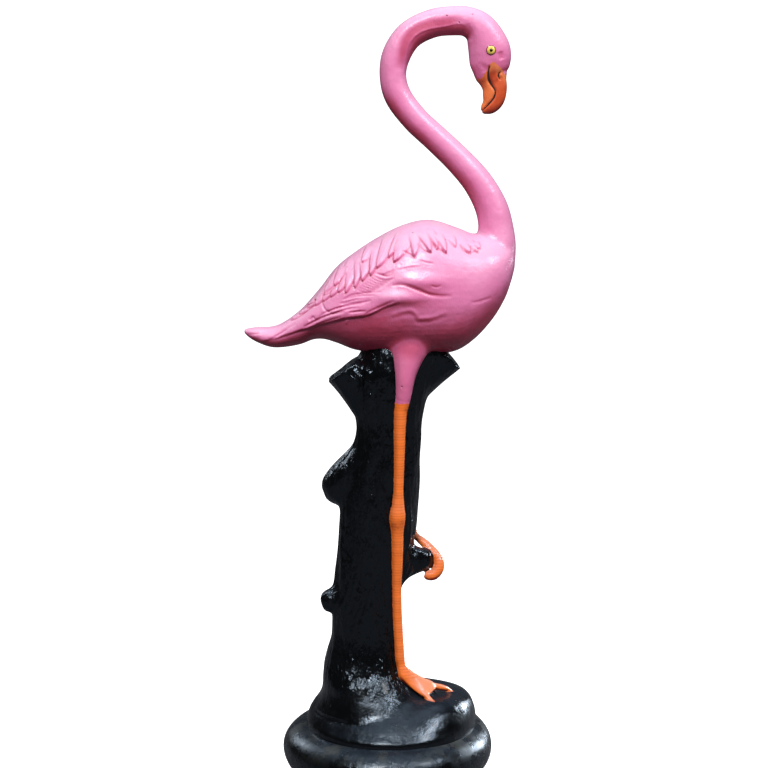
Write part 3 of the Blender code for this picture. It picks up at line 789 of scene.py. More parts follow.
@dataclass
class Bird:
    """The bird: body, neck, head, beak and the tops of its thighs."""

    casting: Casting
    painter: Painter
    voxel: float = 0.00118
    softening: int = 9
    crease_rounds: int = 110
    body_power: float = 2.15
    beak_power: float = 2.3
    # The body ends this far above the belly, and the head starts this far above the floor
    body_top: float = 160
    head_bottom: float = 770
    edge_swell: float = 1.6
    cut_depth: float = 1.1
    # How much painted shade lies in the grooves and under the wing, from 0 to 1
    groove_shade: float = 0.7
    underside_shade: float = 0.85
    # Sections from tail to breast: x, top, bottom, half width
    sections: Rows = (
        (-165, 28.5, 24, 5), (-158, 30, 18, 13), (-149, 31, 13, 18), (-135, 31.5, 8, 22),
        (-121, 36, 7.5, 25), (-100, 51, 11, 31), (-79, 74, 18, 39), (-58, 100.5, 13, 47),
        (-37, 117.5, 5, 53), (-10, 135, 1, 59), (20, 149.5, 0, 63.5), (50, 155, -0.5, 64),
        (80, 146.5, 3.5, 60), (102, 138, 17.5, 54), (122, 135, 39.5, 45), (136, 131, 62.5, 34),
        (143.5, 126, 83, 23), (147.6, 118, 98, 11),
    )
    # Places along the neck to the head: x, z, half width in side view, half depth
    neck: Rows = (
        (100, 74, 30, 33), (118, 100, 29, 31), (125.8, 122, 23.8, 26), (126.3, 143, 20.5, 21),
        (120.5, 169, 18.8, 18.5), (105, 197, 17.2, 16.8), (83, 222, 16, 15.6),
        (56.5, 247, 15.4, 15.2), (32.8, 268.7, 15.3, 15.2), (13.5, 294, 15.6, 15.2),
        (7.3, 318, 15.3, 15), (11.6, 341.5, 16.3, 15.2), (26.5, 363, 16, 15.2),
        (52, 375.7, 16, 15.4), (78, 378.7, 16.4, 15.8), (93.5, 377, 17, 16.2),
        (107.2, 367.5, 19.6, 17.2), (116.4, 347, 24, 17.2), (117.8, 331, 23.2, 14.8),
        (118.6, 320.7, 19.2, 12), (120.7, 313.8, 16.6, 10), (122.4, 306.8, 14.2, 8.6),
    )
    beak: Rows = (
        (118, 334, 15, 10), (120.3, 322, 16.6, 9.8), (121.5, 313, 15.2, 9.2),
        (123.3, 303, 14, 8.4), (122, 292, 12.9, 7.4), (117.8, 284.3, 10.4, 6),
        (111, 279.3, 6, 3.6), (108.2, 277.8, 2.6, 2),
    )
    # The tops of the thighs, as rows of a leg
    thigh: Rows = (
        (27, 0.3, 438, 5.2), (26.5, 0.45, 424, 5), (25, 0.66, 410, 4.2), (23.2, 0.84, 398, 2.95),
        (22, 0.94, 388, 2.3), (21, 0.99, 379, 1.95), (20.2, 1, 369.5, 1.74), (18.9, 1, 357, 1.5),
        (18, 0.99, 351, 1.2), (17.5, 0.98, 346, 0.7),
    )
    # Swellings of the folded wing: x, half length, z, half height, rise
    bulges: Rows = ((16, 25, 69, 8, 4.2), (40, 26, 87, 9, 3.2))
    # The wing's lower edge in side view, under which shade is painted
    underside_line: Rows = (
        (-170, 15), (-147, 15), (-130, 17.5), (-112, 23.5), (-94, 30), (-79, 36.4), (-59, 41.5),
        (-43, 44.5), (-24, 46), (-13, 50), (0, 55), (16, 58),
    )
    # Lines of the head in side view, in world millimetres: the beak's base, mouth and nostril
    beak_line: Rows = (
        (106.2, 817.5), (112, 826.1), (114.2, 831.4), (117.3, 835.1), (120.6, 835.6), (123.9, 832.4),
        (129.2, 828.2), (133.1, 822.3),
    )
    mouth_line: Rows = (
        (114.8, 830.5), (113.8, 824.1), (114.5, 816.7), (117.2, 811.4), (121, 806), (122.2, 801.8),
        (120, 795.3), (114.7, 789), (109.3, 783.6), (107.1, 781.5),
    )
    nostril_line: Rows = ((127.3, 824.3), (126, 822.4), (125.9, 819.9), (127.4, 817.2))
    # The fold along the top of the neck, in side view
    fold_line: Rows = (
        (14.5, 322), (16, 339), (19.5, 354), (30, 367), (46, 374), (66, 377), (86, 379),
    )

    def build(self) -> bpy.types.Object:
        """Models, carves and paints the bird.

        Returns:
            The finished piece.
        """
        shells = Shells()
        up, near = np.array([0.0, 0.0, 1.0]), np.array([0.0, -1.0, 0.0])
        rings = []
        for x, top, bottom, half in smooth_through(self.sections, Shells.STEPS):
            middle, rise = (top + bottom) / 2, max(top - bottom, 1.0) / 2
            centre = np.array(self.casting.on_bird(x, middle))
            rings.append(shells.ring(centre, up, near, rise * MM, half * MM, self.body_power))
        shells.loft(rings)
        shells.sweep(self.path(self.neck))
        shells.sweep(self.path(self.beak), self.beak_power)
        for side in (-1, 1):
            shells.sweep(self.casting.leg_rows(self.thigh, side))
        piece = shells.cast("flamingo_bird", self.voxel, self.softening)
        surface = Surface(piece)
        x, z = self.side_view(surface)
        surface.fill_creases(self.crease_rounds, smoothstep(300, 280, z))
        surface.keep("hollow", self.carve(surface))
        surface.keep("underside", self.underside(surface))
        surface.keep("beak_side", self.beak_side(surface))
        cut, front = self.mouth(surface)
        surface.keep("mouth", cut)
        surface.keep("jaw", front)
        return Piece.place(piece, self.paint())

    def path(self, rows: Rows) -> Rows:
        """Rows on the bird in metres, ready for a sweep."""
        return [(*self.casting.on_bird(x, z), a * MM, b * MM) for x, z, a, b in rows]

    def side_view(self, surface: Surface) -> tuple[np.ndarray, np.ndarray]:
        """The surface's places along the bird and above its belly, in millimetres."""
        x = (surface.points[:, 0] - self.casting.figure_shift) / MM
        z = (surface.points[:, 2] - self.casting.belly) / MM
        return x, z

    def feathers(self) -> list[Feather]:
        """The wing's feathers, from the tail end up to the shoulder."""
        rows: list[Feather] = []
        for row, (lift, start_x, start_z) in enumerate(((1.2, -108, 40), (1.5, -100, 52))):
            for i in range(6):
                tip = (start_x + 9.5 * i, start_z + (6.6 - 1.5 * row) * i + 0.35 * i * i)
                root = (tip[0] + 19 - i, tip[1] + 19 + i)
                rows.append(Feather(root, tip, 4.6, lift))
        for i in range(7):
            tip = (-80 + 8.6 * i, 58 + 5.2 * i)
            rows.append(Feather((tip[0] + 12, tip[1] + 21), tip, 4.6, 1.7))
        measured = (
            ((-56.7, 91.5), (-69.7, 70.1), 5.2, 0), ((-48.2, 103.4), (-58.7, 81.1), 4.5, 0),
            ((-39.2, 99.7), (-45.8, 73), 4.5, 0.1), ((-32.1, 113.7), (-35.4, 78.9), 4.6, 0.35),
            ((-24.8, 109.8), (-26.8, 86.8), 5.2, 0.2), ((-18.4, 124.4), (-26.9, 107), 4.8, 0),
            ((-12.5, 123.2), (-17.8, 92.5), 5, 0.15), ((3.3, 136), (-10.7, 101.1), 6.9, 0.15),
            ((15.6, 139.7), (2.6, 113.1), 4.4, 0), ((23.5, 140.5), (8.2, 107.9), 7.6, 0.1),
            ((29.1, 142.8), (31.2, 113.9), 5.4, 0.3), ((36.3, 144.2), (49.7, 118.8), 5.4, 0.35),
            ((47, 146.4), (57.1, 121.9), 4.4, 0.3), ((56.3, 140.3), (66.6, 118), 4.4, 0.4),
            ((70.8, 137.8), (77.6, 124.9), 3.7, 0.3), ((82.3, 133.5), (94.1, 117.4), 4.6, 0.4),
            ((91.2, 132.7), (103, 118.3), 3.7, 0.4), ((99.2, 129.8), (105.7, 122.5), 3, 0.3),
        )
        for root, tip, half_width, bend in measured:
            lift = 2.0 if root[0] > 60 or root[0] < -30 else 3.0
            rows.append(Feather(root, tip, half_width, lift, bend))
        return rows

    def marks(self) -> list[Mark]:
        """Grooves, lips and folds of the body, from measured places."""
        found: list[Mark] = []
        for i in np.arange(0, 3.6, 0.5):
            start = (-14.6 - 5.3 * i, 92.6 - 4.4 * i)
            middle = (-4.0 - 5.2 * i, 88.5 - 4.0 * i)
            found.append(Mark((start, middle, (9.5 - 5.0 * i, 90.4 - 3.7 * i)), 0.85, 0.9))
        for i in range(5):
            start = (-13 + 2 * i, 96 - 0.4 * i)
            found.append(Mark((start, (start[0] + 8, start[1] - 2), (start[0] + 14, 97 + i)), 0.8, 0.6))
        primaries = (
            (0.9, ((-49.1, 66.2), (-39, 71), (-28.9, 73), (-18.9, 74), (-4.6, 75.4))),
            (0.8, ((-49.1, 65.4), (-38.3, 68.9), (-25.4, 70.9), (-12, 71.5))),
            (0.8, ((-52.8, 61), (-41.9, 64.1), (-30.4, 67))),
            (0.8, ((-49.9, 60.5), (-38.3, 62.2), (-27.5, 63), (-16, 66))),
            (1.5, ((-76.2, 45.1), (-71, 49.3), (-63, 53.1), (-52.8, 56.9), (-40.5, 60), (-27.5, 61.5))),
            (0.9, ((-66, 47.6), (-56, 51.6), (-44, 55.4), (-30, 58))),
            (1.7, ((-94, 33.3), (-80.6, 41), (-68.9, 46.8), (-60.1, 49.9), (-46.3, 52.8))),
            (1.0, ((-42, 51.8), (-31.9, 53.2), (-22, 54))),
            (0.8, ((-88, 33), (-76, 38.5), (-64, 42.8), (-50, 47))),
            (0.8, ((-74, 64), (-68.8, 54.4), (-60, 50))),
            (1.0, ((-71.9, 68.7), (-63.1, 76.5), (-52.9, 84.6))),
        )
        found += [Mark(line, 1.0, 1.2 * depth) for depth, line in primaries]
        found += [
            Mark(((5.2, 82.8), (15.2, 84.3), (23.7, 82.6), (37.9, 76.9), (47.9, 72.7), (59.3, 70.8),
                  (73.6, 70.7)), 1.9, 1.1),
            Mark(((5.2, 82), (15.2, 83.4), (23.7, 81.6), (37.9, 75.9), (52, 71)), 0.8, 0.9),
            Mark(((49.2, 83), (55, 80.8), (60.7, 82.5)), 0.9, 0.7),
            Mark(((37.2, 110.4), (45, 108), (53, 106.9)), 0.8, 0.8),
            Mark(((12, 101.5), (27.2, 104.8), (37.9, 105.5)), 0.9, 0.5, Cut.RIDGE),
            Mark(((35, 129), (41.6, 121.2), (51, 118.6)), 1.0, 1.3),
            Mark(((51.5, 129), (58, 123.3), (68, 117.4)), 1.0, 1.3),
            Mark(((18, 120.5), (23, 118.7), (32.5, 112.8)), 1.0, 1.3),
            Mark(((83, 128), (85.9, 122), (92, 118.5), (101.5, 120.2)), 1.0, 1.1),
            Mark(((94, 63), (104, 64), (119, 68)), 1.6, 0.5),
            Mark(((-25, 49), (-16.3, 54.2), (-0.6, 61.3), (10, 66.5)), 1.5, 0.8),
            Mark(((5, 49), (15.1, 53), (27.4, 55), (33, 50.4), (36.4, 45.8), (52.1, 47.3), (68, 53)),
                 2.8, 0.6, Cut.RIDGE),
            Mark(((5, 44.5), (15.1, 48.4), (27, 50.4), (33, 45.4), (36.4, 41.2), (52.1, 42.7),
                  (68, 48)), 3.0, 0.35),
            Mark(((-160, 23.5), (-147, 25), (-134, 27.5)), 1.1, 0.9),
            Mark(((-136, 18), (-128, 21), (-114, 29.5)), 1.1, 1.1),
            Mark(((-126, 22), (-116, 28), (-102, 37)), 1.1, 0.9),
            Mark(((-86.9, 41.2), (-82.8, 45), (-79.9, 42.9)), 1.3, 1.4),
            Mark(((-45.7, 38.1), (-43.5, 44.1)), 1.3, 0.8, Cut.RIDGE),
        ]
        edge = ((-147, 15.5), (-130, 19), (-112, 25), (-94, 31.5), (-79, 36.4), (-59, 42.3),
                (-43, 45.9), (-24, 48.5), (-13, 52.6), (0, 59), (16, 64))
        found.append(Mark(edge, 1.3, 2.6, Cut.LIP, 16))
        return found

    def head_marks(self) -> list[Mark]:
        """Folds, dimples and the nostrils' rims of the neck and head."""
        return [
            Mark(self.fold_line, 5.0, 1.1),
            Mark(((20, 322.7), (22, 337.1), (25.3, 351.4), (34.3, 362), (47.8, 367.9), (66.8, 371.2),
                  (81.4, 374), (90, 371)), 1.2, 0.6, Cut.RIDGE),
            Mark(((92, 374), (94, 364), (94.5, 355)), 3.0, 0.6),
            Mark(((128.2, 343), (130.4, 334.5)), 3.6, 1.0),
            Mark(((104, 331), (110, 326), (112.5, 321)), 3.0, 0.5),
            Mark(((125.2, 319.6), (124.9, 315.6), (126.8, 312)), 1.1, 0.5, Cut.RIDGE),
            Mark(((129.9, 318.6), (130, 315.6)), 1.1, 0.5, Cut.RIDGE),
        ]

    def carve(self, surface: Surface) -> np.ndarray:
        """Carves the wing and the folds of the body.

        Args:
            surface: the bird's surface.

        Returns:
            How much painted shade each point takes, from 0 to 1: in grooves, below the neck's fold and
            round the tops of the thighs.
        """
        x, z = self.side_view(surface)
        sideways = smoothstep(0.10, 0.40, np.abs(surface.normals[:, 1]))
        plates, hollow, lines = (np.zeros_like(x) for _ in range(3))
        for feather in self.feathers():
            feather.lay(x, z, plates, hollow)
        for mark in (*self.marks(), *self.head_marks()):
            lines += mark.relief(x, z)
        above_edge = z - np.interp(x, *np.array(self.underside_line).T)
        swell = self.edge_swell * bell(above_edge - 9, 9)
        swell *= smoothstep(-130, -90, x) * smoothstep(20, -10, x)
        for middle_x, half_length, middle_z, half_height, rise in self.bulges:
            swell += rise * bell(x - middle_x, half_length) * bell(z - middle_z, half_height)
        on_body = (z < self.body_top) & (z > 0) & (x < 128)
        height = (lines + (plates + swell) * on_body) * sideways
        surface.raise_by(height * MM)
        # Painted shade round the tops of the thighs, where the belly shades them
        thigh_root = bell(x - 27, 34) * bell(z - 10, 20) * smoothstep(-38, -4, z)
        thigh_root = np.maximum(thigh_root, 0.5 * smoothstep(2, -8, z))
        deep = np.clip(-lines, 0, None) * 0.5 + hollow * on_body + self.neck_fold(x, z)
        return np.clip(deep * sideways + thigh_root, 0, 1)

    def neck_fold(self, x: np.ndarray, z: np.ndarray) -> np.ndarray:
        """How much painted shade lies below the fold along the top of the neck, from 0 to 1."""
        found = np.zeros_like(x)
        near = (z > 300) & (x < 100)
        line = smooth_through(self.fold_line, 5)
        side, place = Mark.nearest(np.column_stack([x[near], z[near]]), line)
        ends = smoothstep(0, 0.2, place) * smoothstep(1, 0.85, place)
        found[near] = 0.8 * smoothstep(5, -3, side) * ends
        return found

    def underside(self, surface: Surface) -> np.ndarray:
        """How far below the wing's lower edge each point of the body lies, in millimetres, for the
        painted shade under the wing.
        """
        x, z = self.side_view(surface)
        below = np.clip(np.interp(x, *np.array(self.underside_line).T) - z, -8, 8)
        fading = smoothstep(45, -45, x) * smoothstep(-6, 14, z)
        return np.where(z < self.body_top, below * fading - 2 * (1 - fading), -8.0)

    def beak_side(self, surface: Surface) -> np.ndarray:
        """How far below the feather line each point of the head lies, in millimetres."""
        x, z = surface.side_view()
        below = np.interp(x, *np.array(self.beak_line).T) - z
        on_head = (z > self.head_bottom) & (x > 95)
        return np.where(on_head, below, -50.0)

    def mouth(self, surface: Surface) -> tuple[np.ndarray, np.ndarray]:
        """Cuts the mouth and the nostrils.

        Args:
            surface: the bird's surface.

        Returns:
            How near each point is to a cut, from 0 to 1, and its distance in front of the mouth.
        """
        x, z = surface.side_view()
        near = (z > self.head_bottom) & (x > 100)
        found, front = np.zeros_like(x), np.full_like(x, -10.0)
        places = np.column_stack([x[near], z[near]])
        distance, share = Mark.nearest(places, smooth_through(self.mouth_line, 5))
        gape = 1.0 + 1.1 * bell(share - 0.25, 0.16) + 0.4 * bell(share - 0.68, 0.15)
        gape -= 0.4 * smoothstep(0.8, 1.0, share)
        hole, place = Mark.nearest(places, smooth_through(self.nostril_line, 5))
        nostril = bell(hole, 0.8 + 0.5 * bell(place - 0.6, 0.3))
        found[near] = np.maximum(bell(distance, gape), nostril)
        front[near] = np.clip(distance, -10, 10)
        surface.raise_by(-self.cut_depth * MM * found)
        return found, front

    def paint(self) -> bpy.types.Material:
        """Pink enamel over the bird with painted shade in its hollows and under the wing, and two
        oranges on its beak.
        """
        material, sheet = self.painter.enamelled("bird_enamel", BIRD_GLOSS)
        # Painted shade: deeper pink in the grooves, below the neck's fold, round the thighs and under
        # the wing's edge
        hollow = sheet.times(sheet.stored("hollow"), self.groove_shade)
        below = sheet.ramp(sheet.stored("underside"), -1.0, 4.0)
        below = sheet.times(below, self.underside_shade)
        pink = self.painter.shade(sheet, PINK, sheet.math("MAXIMUM", hollow, below))
        by_feathers = sheet.ramp(sheet.stored("beak_side"), 13.0, 2.0, 0.0, 0.75)
        upper = self.painter.shade(sheet, BEAK, 0.0, 90.0)
        upper = sheet.blend(by_feathers, upper, BEAK_BY_FEATHERS)
        front = sheet.ramp(sheet.stored("jaw"), -0.8, 0.8)
        beak = sheet.blend(front, self.painter.shade(sheet, LOWER_BEAK, 0.0), upper)
        wobble = sheet.noise(sheet.on_piece(), 260.0, 2.0)
        edge = sheet.times_plus(wobble, 1.2, sheet.stored("beak_side"))
        colour = sheet.blend(sheet.ramp(edge, 0.45, 0.75), pink, beak)
        mouth = sheet.ramp(sheet.stored("mouth"), 0.45, 0.75)
        self.painter.finish(sheet, BIRD_GLOSS, sheet.blend(mouth, colour, MOUTH_SHADOW))
        return material


@dataclass
class Eyes:
    """The bird's two painted eyes, each a low dome with a raised pupil, sitting in a dark ring of
    painted shadow.
    """

    casting: Casting
    painter: Painter
    place: tuple[float, float] = (116.3, 848.3)
    radius: float = 0.0049
    rise: float = 0.0015
    # The dark ring of painted shadow round the eye, as shares of the eye's radius and rise, and the
    # pupil's seat as a share of the rise
    shadow_ring_width: float = 1.14
    shadow_ring_rise: float = 0.5
    pupil_seat: float = 0.62
    pupil_radius: float = 0.0020
    pupil_rise: float = 0.0011
    steps: int = 8
    sides: int = 48

    def build(self, bird: bpy.types.Object) -> list[bpy.types.Object]:
        """Sets an eye into each side of the head.

        Args:
            bird: the bird's piece, which the eyes sit on.

        Returns:
            The pieces.
        """
        tree = BVHTree.FromObject(bird, bpy.context.evaluated_depsgraph_get())
        yellow = self.plain("eye_yellow", YELLOW)
        black = self.plain("eye_black", BLACK)
        # The dark rose ring stands for the shadow round each eye's edge
        rose = self.plain("eye_shadow_ring", ROSE)
        made = []
        for side, name in ((-1, "near"), (1, "far")):
            start = Vector((self.place[0] * MM, side * 0.1, self.place[1] * MM))
            hit, normal, _, _ = tree.ray_cast(start, Vector((0, -side, 0)))
            top = hit + normal * self.rise * self.pupil_seat
            for title, place, radius, rise, material in (
                ("eye_shadow_ring", hit, self.shadow_ring_width * self.radius, self.shadow_ring_rise * self.rise, rose),
                ("eye", hit, self.radius, self.rise, yellow),
                ("pupil", top, self.pupil_radius, self.pupil_rise, black),
            ):
                made.append(self.dome(f"{title}_{name}", place, normal, radius, rise, material))
        return made

    def dome(self, name: str, place: Vector, normal: Vector, radius: float, rise: float,
             material: bpy.types.Material) -> bpy.types.Object:
        """Turns a closed lens about the head's normal.

        Args:
            name: the piece's name.
            place: the lens's middle.
            normal: the way that it faces.
            radius: its radius.
            rise: its height over its rim.
            material: its enamel.

        Returns:
            The piece.
        """
        mesh = bmesh.new()
        profile = []
        for step in range(self.steps + 1):
            turn = math.pi / 2 * step / self.steps
            profile.append((radius * math.sin(turn), rise * math.cos(turn)))
        profile.append((radius * 0.97, -rise))
        profile.append((0.0, -rise))
        verts = [mesh.verts.new((r, 0, h)) for r, h in profile]
        edges = [mesh.edges.new(pair) for pair in zip(verts, verts[1:])]
        bmesh.ops.spin(mesh, geom=verts + edges, cent=(0, 0, 0), axis=(0, 0, 1),
                       angle=2 * math.pi, steps=self.sides, use_merge=True)
        bmesh.ops.remove_doubles(mesh, verts=mesh.verts, dist=1e-7)
        bmesh.ops.recalc_face_normals(mesh, faces=mesh.faces)
        turned = normal.to_track_quat("Z", "Y").to_matrix().to_4x4()
        turned.translation = place
        mesh.transform(turned)
        return Piece.place(link_mesh(name, mesh), material)

    def plain(self, name: str, enamel: Enamel) -> bpy.types.Material:
        """A small touch of enamel."""
        material, sheet = self.painter.enamelled(name, EYE_GLOSS)
        self.painter.finish(sheet, EYE_GLOSS, self.painter.shade(sheet, enamel, 0.0, 300.0))
        return material


@dataclass
class Mound:
    """The mound under the stump: a ledge under the foot, and a soft slope in front."""

    casting: Casting
    radius: float = 0.1015
    shift: float = 0.0045
    tilt: float = math.radians(4)
    sink: float = 0.012
    # The edge's height and reach as shares: where it is a ledge, and where it slopes
    ledge_edge: Rows = ((0, 1), (0.3, 0.995), (0.55, 0.97), (0.78, 0.93), (0.93, 0.87), (1, 0.78))
    slope_edge: Rows = (
        (0, 0.985), (0.12, 0.975), (0.24, 0.93), (0.42, 0.86), (0.65, 0.75), (0.85, 0.62),
        (0.95, 0.5), (1, 0.35),
    )
    # How much the edge slopes, by the direction round the mound in degrees
    sloping: Rows = (
        (-180, 0.2), (-150, 0.6), (-120, 1), (-90, 1), (-70, 0.8), (-50, 0.38), (-32, 0.1),
        (-15, 0), (20, 0), (60, 0.3), (120, 0.35), (180, 0.2),
    )
    sides: int = 180

    def rings(self) -> list[np.ndarray]:
        """Rings of the mound, from its sunk foot up to its top."""
        height = self.casting.mound_height
        angles = np.linspace(-math.pi, math.pi, self.sides, endpoint=False)
        slope_share = self.even(np.degrees(angles), self.sloping)
        rings = []
        for rise in (-self.sink / height, *np.linspace(0, 1, 40)):
            ledge = self.even(max(rise, 0.0), self.ledge_edge)
            slope = self.even(max(rise, 0.0), self.slope_edge)
            reach = self.radius * (ledge + (slope - ledge) * slope_share)
            x, y = reach * np.cos(angles), reach * np.sin(angles)
            z = self.casting.roll_height + rise * height
            tilted = z - y * math.tan(self.tilt) * max(rise, 0.0)
            rings.append(np.column_stack([self.shift + x, y, tilted]))
        return rings

    @staticmethod
    def even(value: object, rows: Rows) -> np.ndarray:
        """Reads a value off a smooth curve through rows of place and value."""
        curve = smooth_through(rows, 10)
        return np.interp(value, curve[:, 0], curve[:, 1])


@dataclass(frozen=True)
class Stub:
    """A branch or a knot of the trunk, in millimetres above the mound's top."""

    start: tuple[float, float, float]
    end: tuple[float, float, float]
    radii: tuple[float, float, float]
    depth_share: float = 1.0
    rounded: bool = True

    # How far a rounded end goes on, and how thick it ends, as shares of the last radius
    END_REACH = 0.42
    END_RADIUS = 0.45

    def rows(self, casting: Casting) -> Rows:
        """Rows from the start to the end in metres, ready for a sweep."""
        first, last = np.array(self.start, float), np.array(self.end, float)
        places = list(zip((first, (first + last) / 2, last), self.radii))
        if self.rounded:
            reach = self.END_REACH * self.radii[-1] / np.linalg.norm(last - first)
            places.append((last + (last - first) * reach, self.END_RADIUS * self.radii[-1]))
        return [
            (*casting.on_stump(*place), radius * MM, radius * MM * self.depth_share)
            for place, radius in places
        ]


@dataclass
class StumpAndLegs:
    """The mound, the stump with its branches and knots, and the two legs cast on it."""

    casting: Casting
    painter: Painter
    voxel: float = 0.00148
    softening: int = 5
    # Levels of the trunk: z, centre x, half width, half depth
    levels: Rows = (
        (-14.5, -7, 79, 76), (-2.5, -11.5, 67, 71), (7.5, -17.5, 58.5, 65.5), (17.5, -23, 53, 59.5),
        (31.5, -26.5, 48.5, 51.5), (47.5, -27, 44, 45), (69.5, -26, 39.5, 40),
        (99.5, -25.2, 39, 39), (131.5, -22.5, 39.5, 38), (159.5, -17, 42, 38),
        (189.5, -11.3, 45, 38), (224.5, -8.7, 45, 37.5), (259.5, -4, 42.5, 37),
        (304.5, 2.5, 38.3, 36.5), (327.5, 4, 38, 37), (354.5, 4, 43, 39), (379.5, 6, 46, 40),
        (392.5, 11.5, 46.5, 39), (404.5, 19, 50, 38), (417.5, 21, 48, 34),
    )
    # Two sawn branches, then three knots and the root under the foot
    stubs: tuple[Stub, ...] = (
        Stub((-12.5, 0, 341), (-50.5, -2, 387.5), (24.5, 22.3, 22.5), 1.2, rounded=False),
        Stub((32.5, 0, 366.5), (74.5, -2, 402), (19, 17.6, 18), 1.15, rounded=False),
        Stub((-22, 5, 259.5), (-67.5, 3, 242.5), (42, 30.5, 17.3), 0.85),
        Stub((-46, -8, 115.5), (-73, -12, 111.5), (18, 15.5, 11)),
        Stub((4, 0, 158), (50, 0, 160), (38, 20.5, 11), 0.75),
        Stub((0, -20, 32), (60, -24, -8), (17, 13.5, 8)),
    )
    # Legs, as rows of a leg
    standing_leg: Rows = (
        (20.4, 1, 371, 1.35), (18.9, 1, 357, 1.46), (17.2, 1, 347, 1.33), (16.3, 1, 340.5, 1.22),
        (15.6, 1, 320, 1.12), (15.5, 1, 299.5, 1.04),
        (14.6, 1, 256.5, 0.92), (13.9, 0.99, 235.5, 1.15), (13, 0.98, 219.5, 1.586),
        (13, 0.96, 201.5, 1.2), (13.1, 0.94, 185.5, 1.16), (12.7, 0.91, 154.5, 1.02),
        (12.4, 0.88, 132.5, 0.9), (13.5, 0.86, 93.5, 0.92), (15.3, 0.87, 62.5, 0.92),
        (16, 0.88, 50, 0.96), (17.5, 0.88, 40, 0.8),
    )
    raised_leg: Rows = (
        (20, -1, 371.5, 1.7), (15, -1.02, 349.5, 1.35), (4, -1.04, 321.5, 1.1),
        (-6, -1.06, 299.5, 1.25), (-9, -1.07, 285.5, 1.5), (-4, -1.07, 269.5, 1.2),
        (10, -1, 234.5, 0.95), (24, -0.8, 205.5, 0.9), (34, -0.55, 186, 0.7),
    )
    hooked_toes: Rows = (
        (32, -0.6, 185.5, 0.6), (43.8, -0.36, 177.6, 0.88), (52.7, -0.2, 171, 0.88),
        (59.5, -0.1, 163.8, 0.9), (62.8, -0.04, 156.5, 1.03), (61.6, 0, 148.5, 1.14),
        (56.2, 0.03, 142, 1.16), (50, 0.03, 140.5, 1), (45.5, 0, 142, 0.7),
    )
    # The web of the foot: near edge x, y, z, far edge x, y, z, thickness as a share of a toe
    foot_web: Rows = (
        (12.8, -35, 44, 19.4, -31.5, 46.8, 0.7), (15.3, -38, 29.1, 26, -31, 37.7, 0.95),
        (21.2, -39.5, 23, 33.6, -29.5, 30.6, 0.9), (28.8, -41, 16.3, 44.3, -27, 23.7, 0.85),
        (38.1, -43, 9.7, 55.1, -23, 17.5, 0.8), (45.7, -44.5, 5.4, 61.1, -21, 11.9, 0.7),
    )
    # Toes from inside the web to the tip: x, y, z, share of the toe's radius
    toes: tuple[Rows, ...] = (
        ((41, -39, 12, 0.5), (47.8, -44.5, 6.8, 0.6), (52, -48, 3.6, 0.5), (56, -50.5, 2.2, 0.28)),
        ((52, -25.5, 14, 0.7), (62.5, -20.5, 10.5, 0.75), (70.8, -15, 7, 0.6), (78.3, -10, 2.4, 0.28)),
        ((38, -22, 18, 0.7), (50, -4, 10, 0.8), (62, 14, -3, 0.4)),
    )
    # Ridges of the bark below the left branch, in world millimetres in side view
    bark_ridges: tuple[Rows, ...] = (
        ((-39.3, 494.2), (-29.1, 489.1), (-18.8, 484.5)),
        ((-42.7, 487.3), (-29.1, 479.3), (-14.3, 471.3)),
        ((-53, 487.3), (-43.9, 481), (-33.7, 473.6)),
    )
    trunk_power: float = 2.3
    stub_power: float = 2.4
    rib_start: int = 7
    rib_share: float = 0.42
    crease_rounds: int = 90
    # Carving in millimetres: the bark's flutes and grain, and the rings of the legs
    flute_depth: float = 0.85
    grain_depth: float = 0.22
    ring_depth: float = 0.10
    ring_spacing: float = 3.4
    # Heights in metres: where the legs turn pink, and where the root passes into the trunk
    pink_from: float = 0.4525
    root_heights: tuple[float, float] = (0.105, 0.120)
    # Fine relief in metres: everywhere on the stone, and more of it above the root
    root_relief: float = 0.0006
    bark_relief: float = 0.0024

    def build(self) -> bpy.types.Object:
        """Models, carves and paints the stump and the legs.

        Returns:
            The finished piece.
        """
        trunk, legs, both = Shells(), Shells(), Shells()
        for shells in (trunk, both):
            self.add_trunk(shells)
        for shells in (legs, both):
            self.add_legs(shells)
        trunk_tree, leg_tree = trunk.tree(), legs.tree()
        piece = both.cast("stump_and_legs", self.voxel, self.softening)
        surface = Surface(piece)
        near_leg = self.near_leg(surface.points)
        away = surface.distance_to(leg_tree, near_leg)
        low = self.casting.mound_top - 0.45 * self.casting.mound_height
        free = smoothstep(0.0015, 0.0045, away) * (surface.points[:, 2] > low)
        surface.fill_creases(self.crease_rounds, free)
        near_leg = self.near_leg(surface.points)
        to_leg = surface.distance_to(leg_tree, near_leg)
        to_trunk = surface.distance_to(trunk_tree, near_leg)
        leg_side = np.clip((to_trunk - to_leg) / MM, -20, 20)
        leg_side[~near_leg] = -20.0
        surface.keep("leg_side", leg_side)
        surface.keep("hollow", self.carve(surface, leg_side))
        return Piece.place(piece, self.paint())

    def add_trunk(self, shells: Shells) -> None:
        """Adds the trunk, its branches and its knots."""
        along, across = np.array([1.0, 0.0, 0.0]), np.array([0.0, 1.0, 0.0])
        rings = []
        for z, x, half_width, half_depth in smooth_through(self.levels, Shells.STEPS):
            middle = np.array(self.casting.on_stump(x, 0, z))
            width, depth = half_width * MM, half_depth * MM
            rings.append(shells.ring(middle, along, across, width, depth, self.trunk_power))
        shells.loft(rings)
        shells.loft(Mound(self.casting).rings())
        self.add_rib(shells)
        for stub in self.stubs:
            shells.sweep(stub.rows(self.casting), self.stub_power)

    def add_legs(self, shells: Shells) -> None:
        """Adds both legs and the foot of the standing one."""
        for rows in (self.standing_leg, self.raised_leg, self.hooked_toes):
            shells.sweep(self.casting.leg_rows(rows))
        self.add_foot(shells)

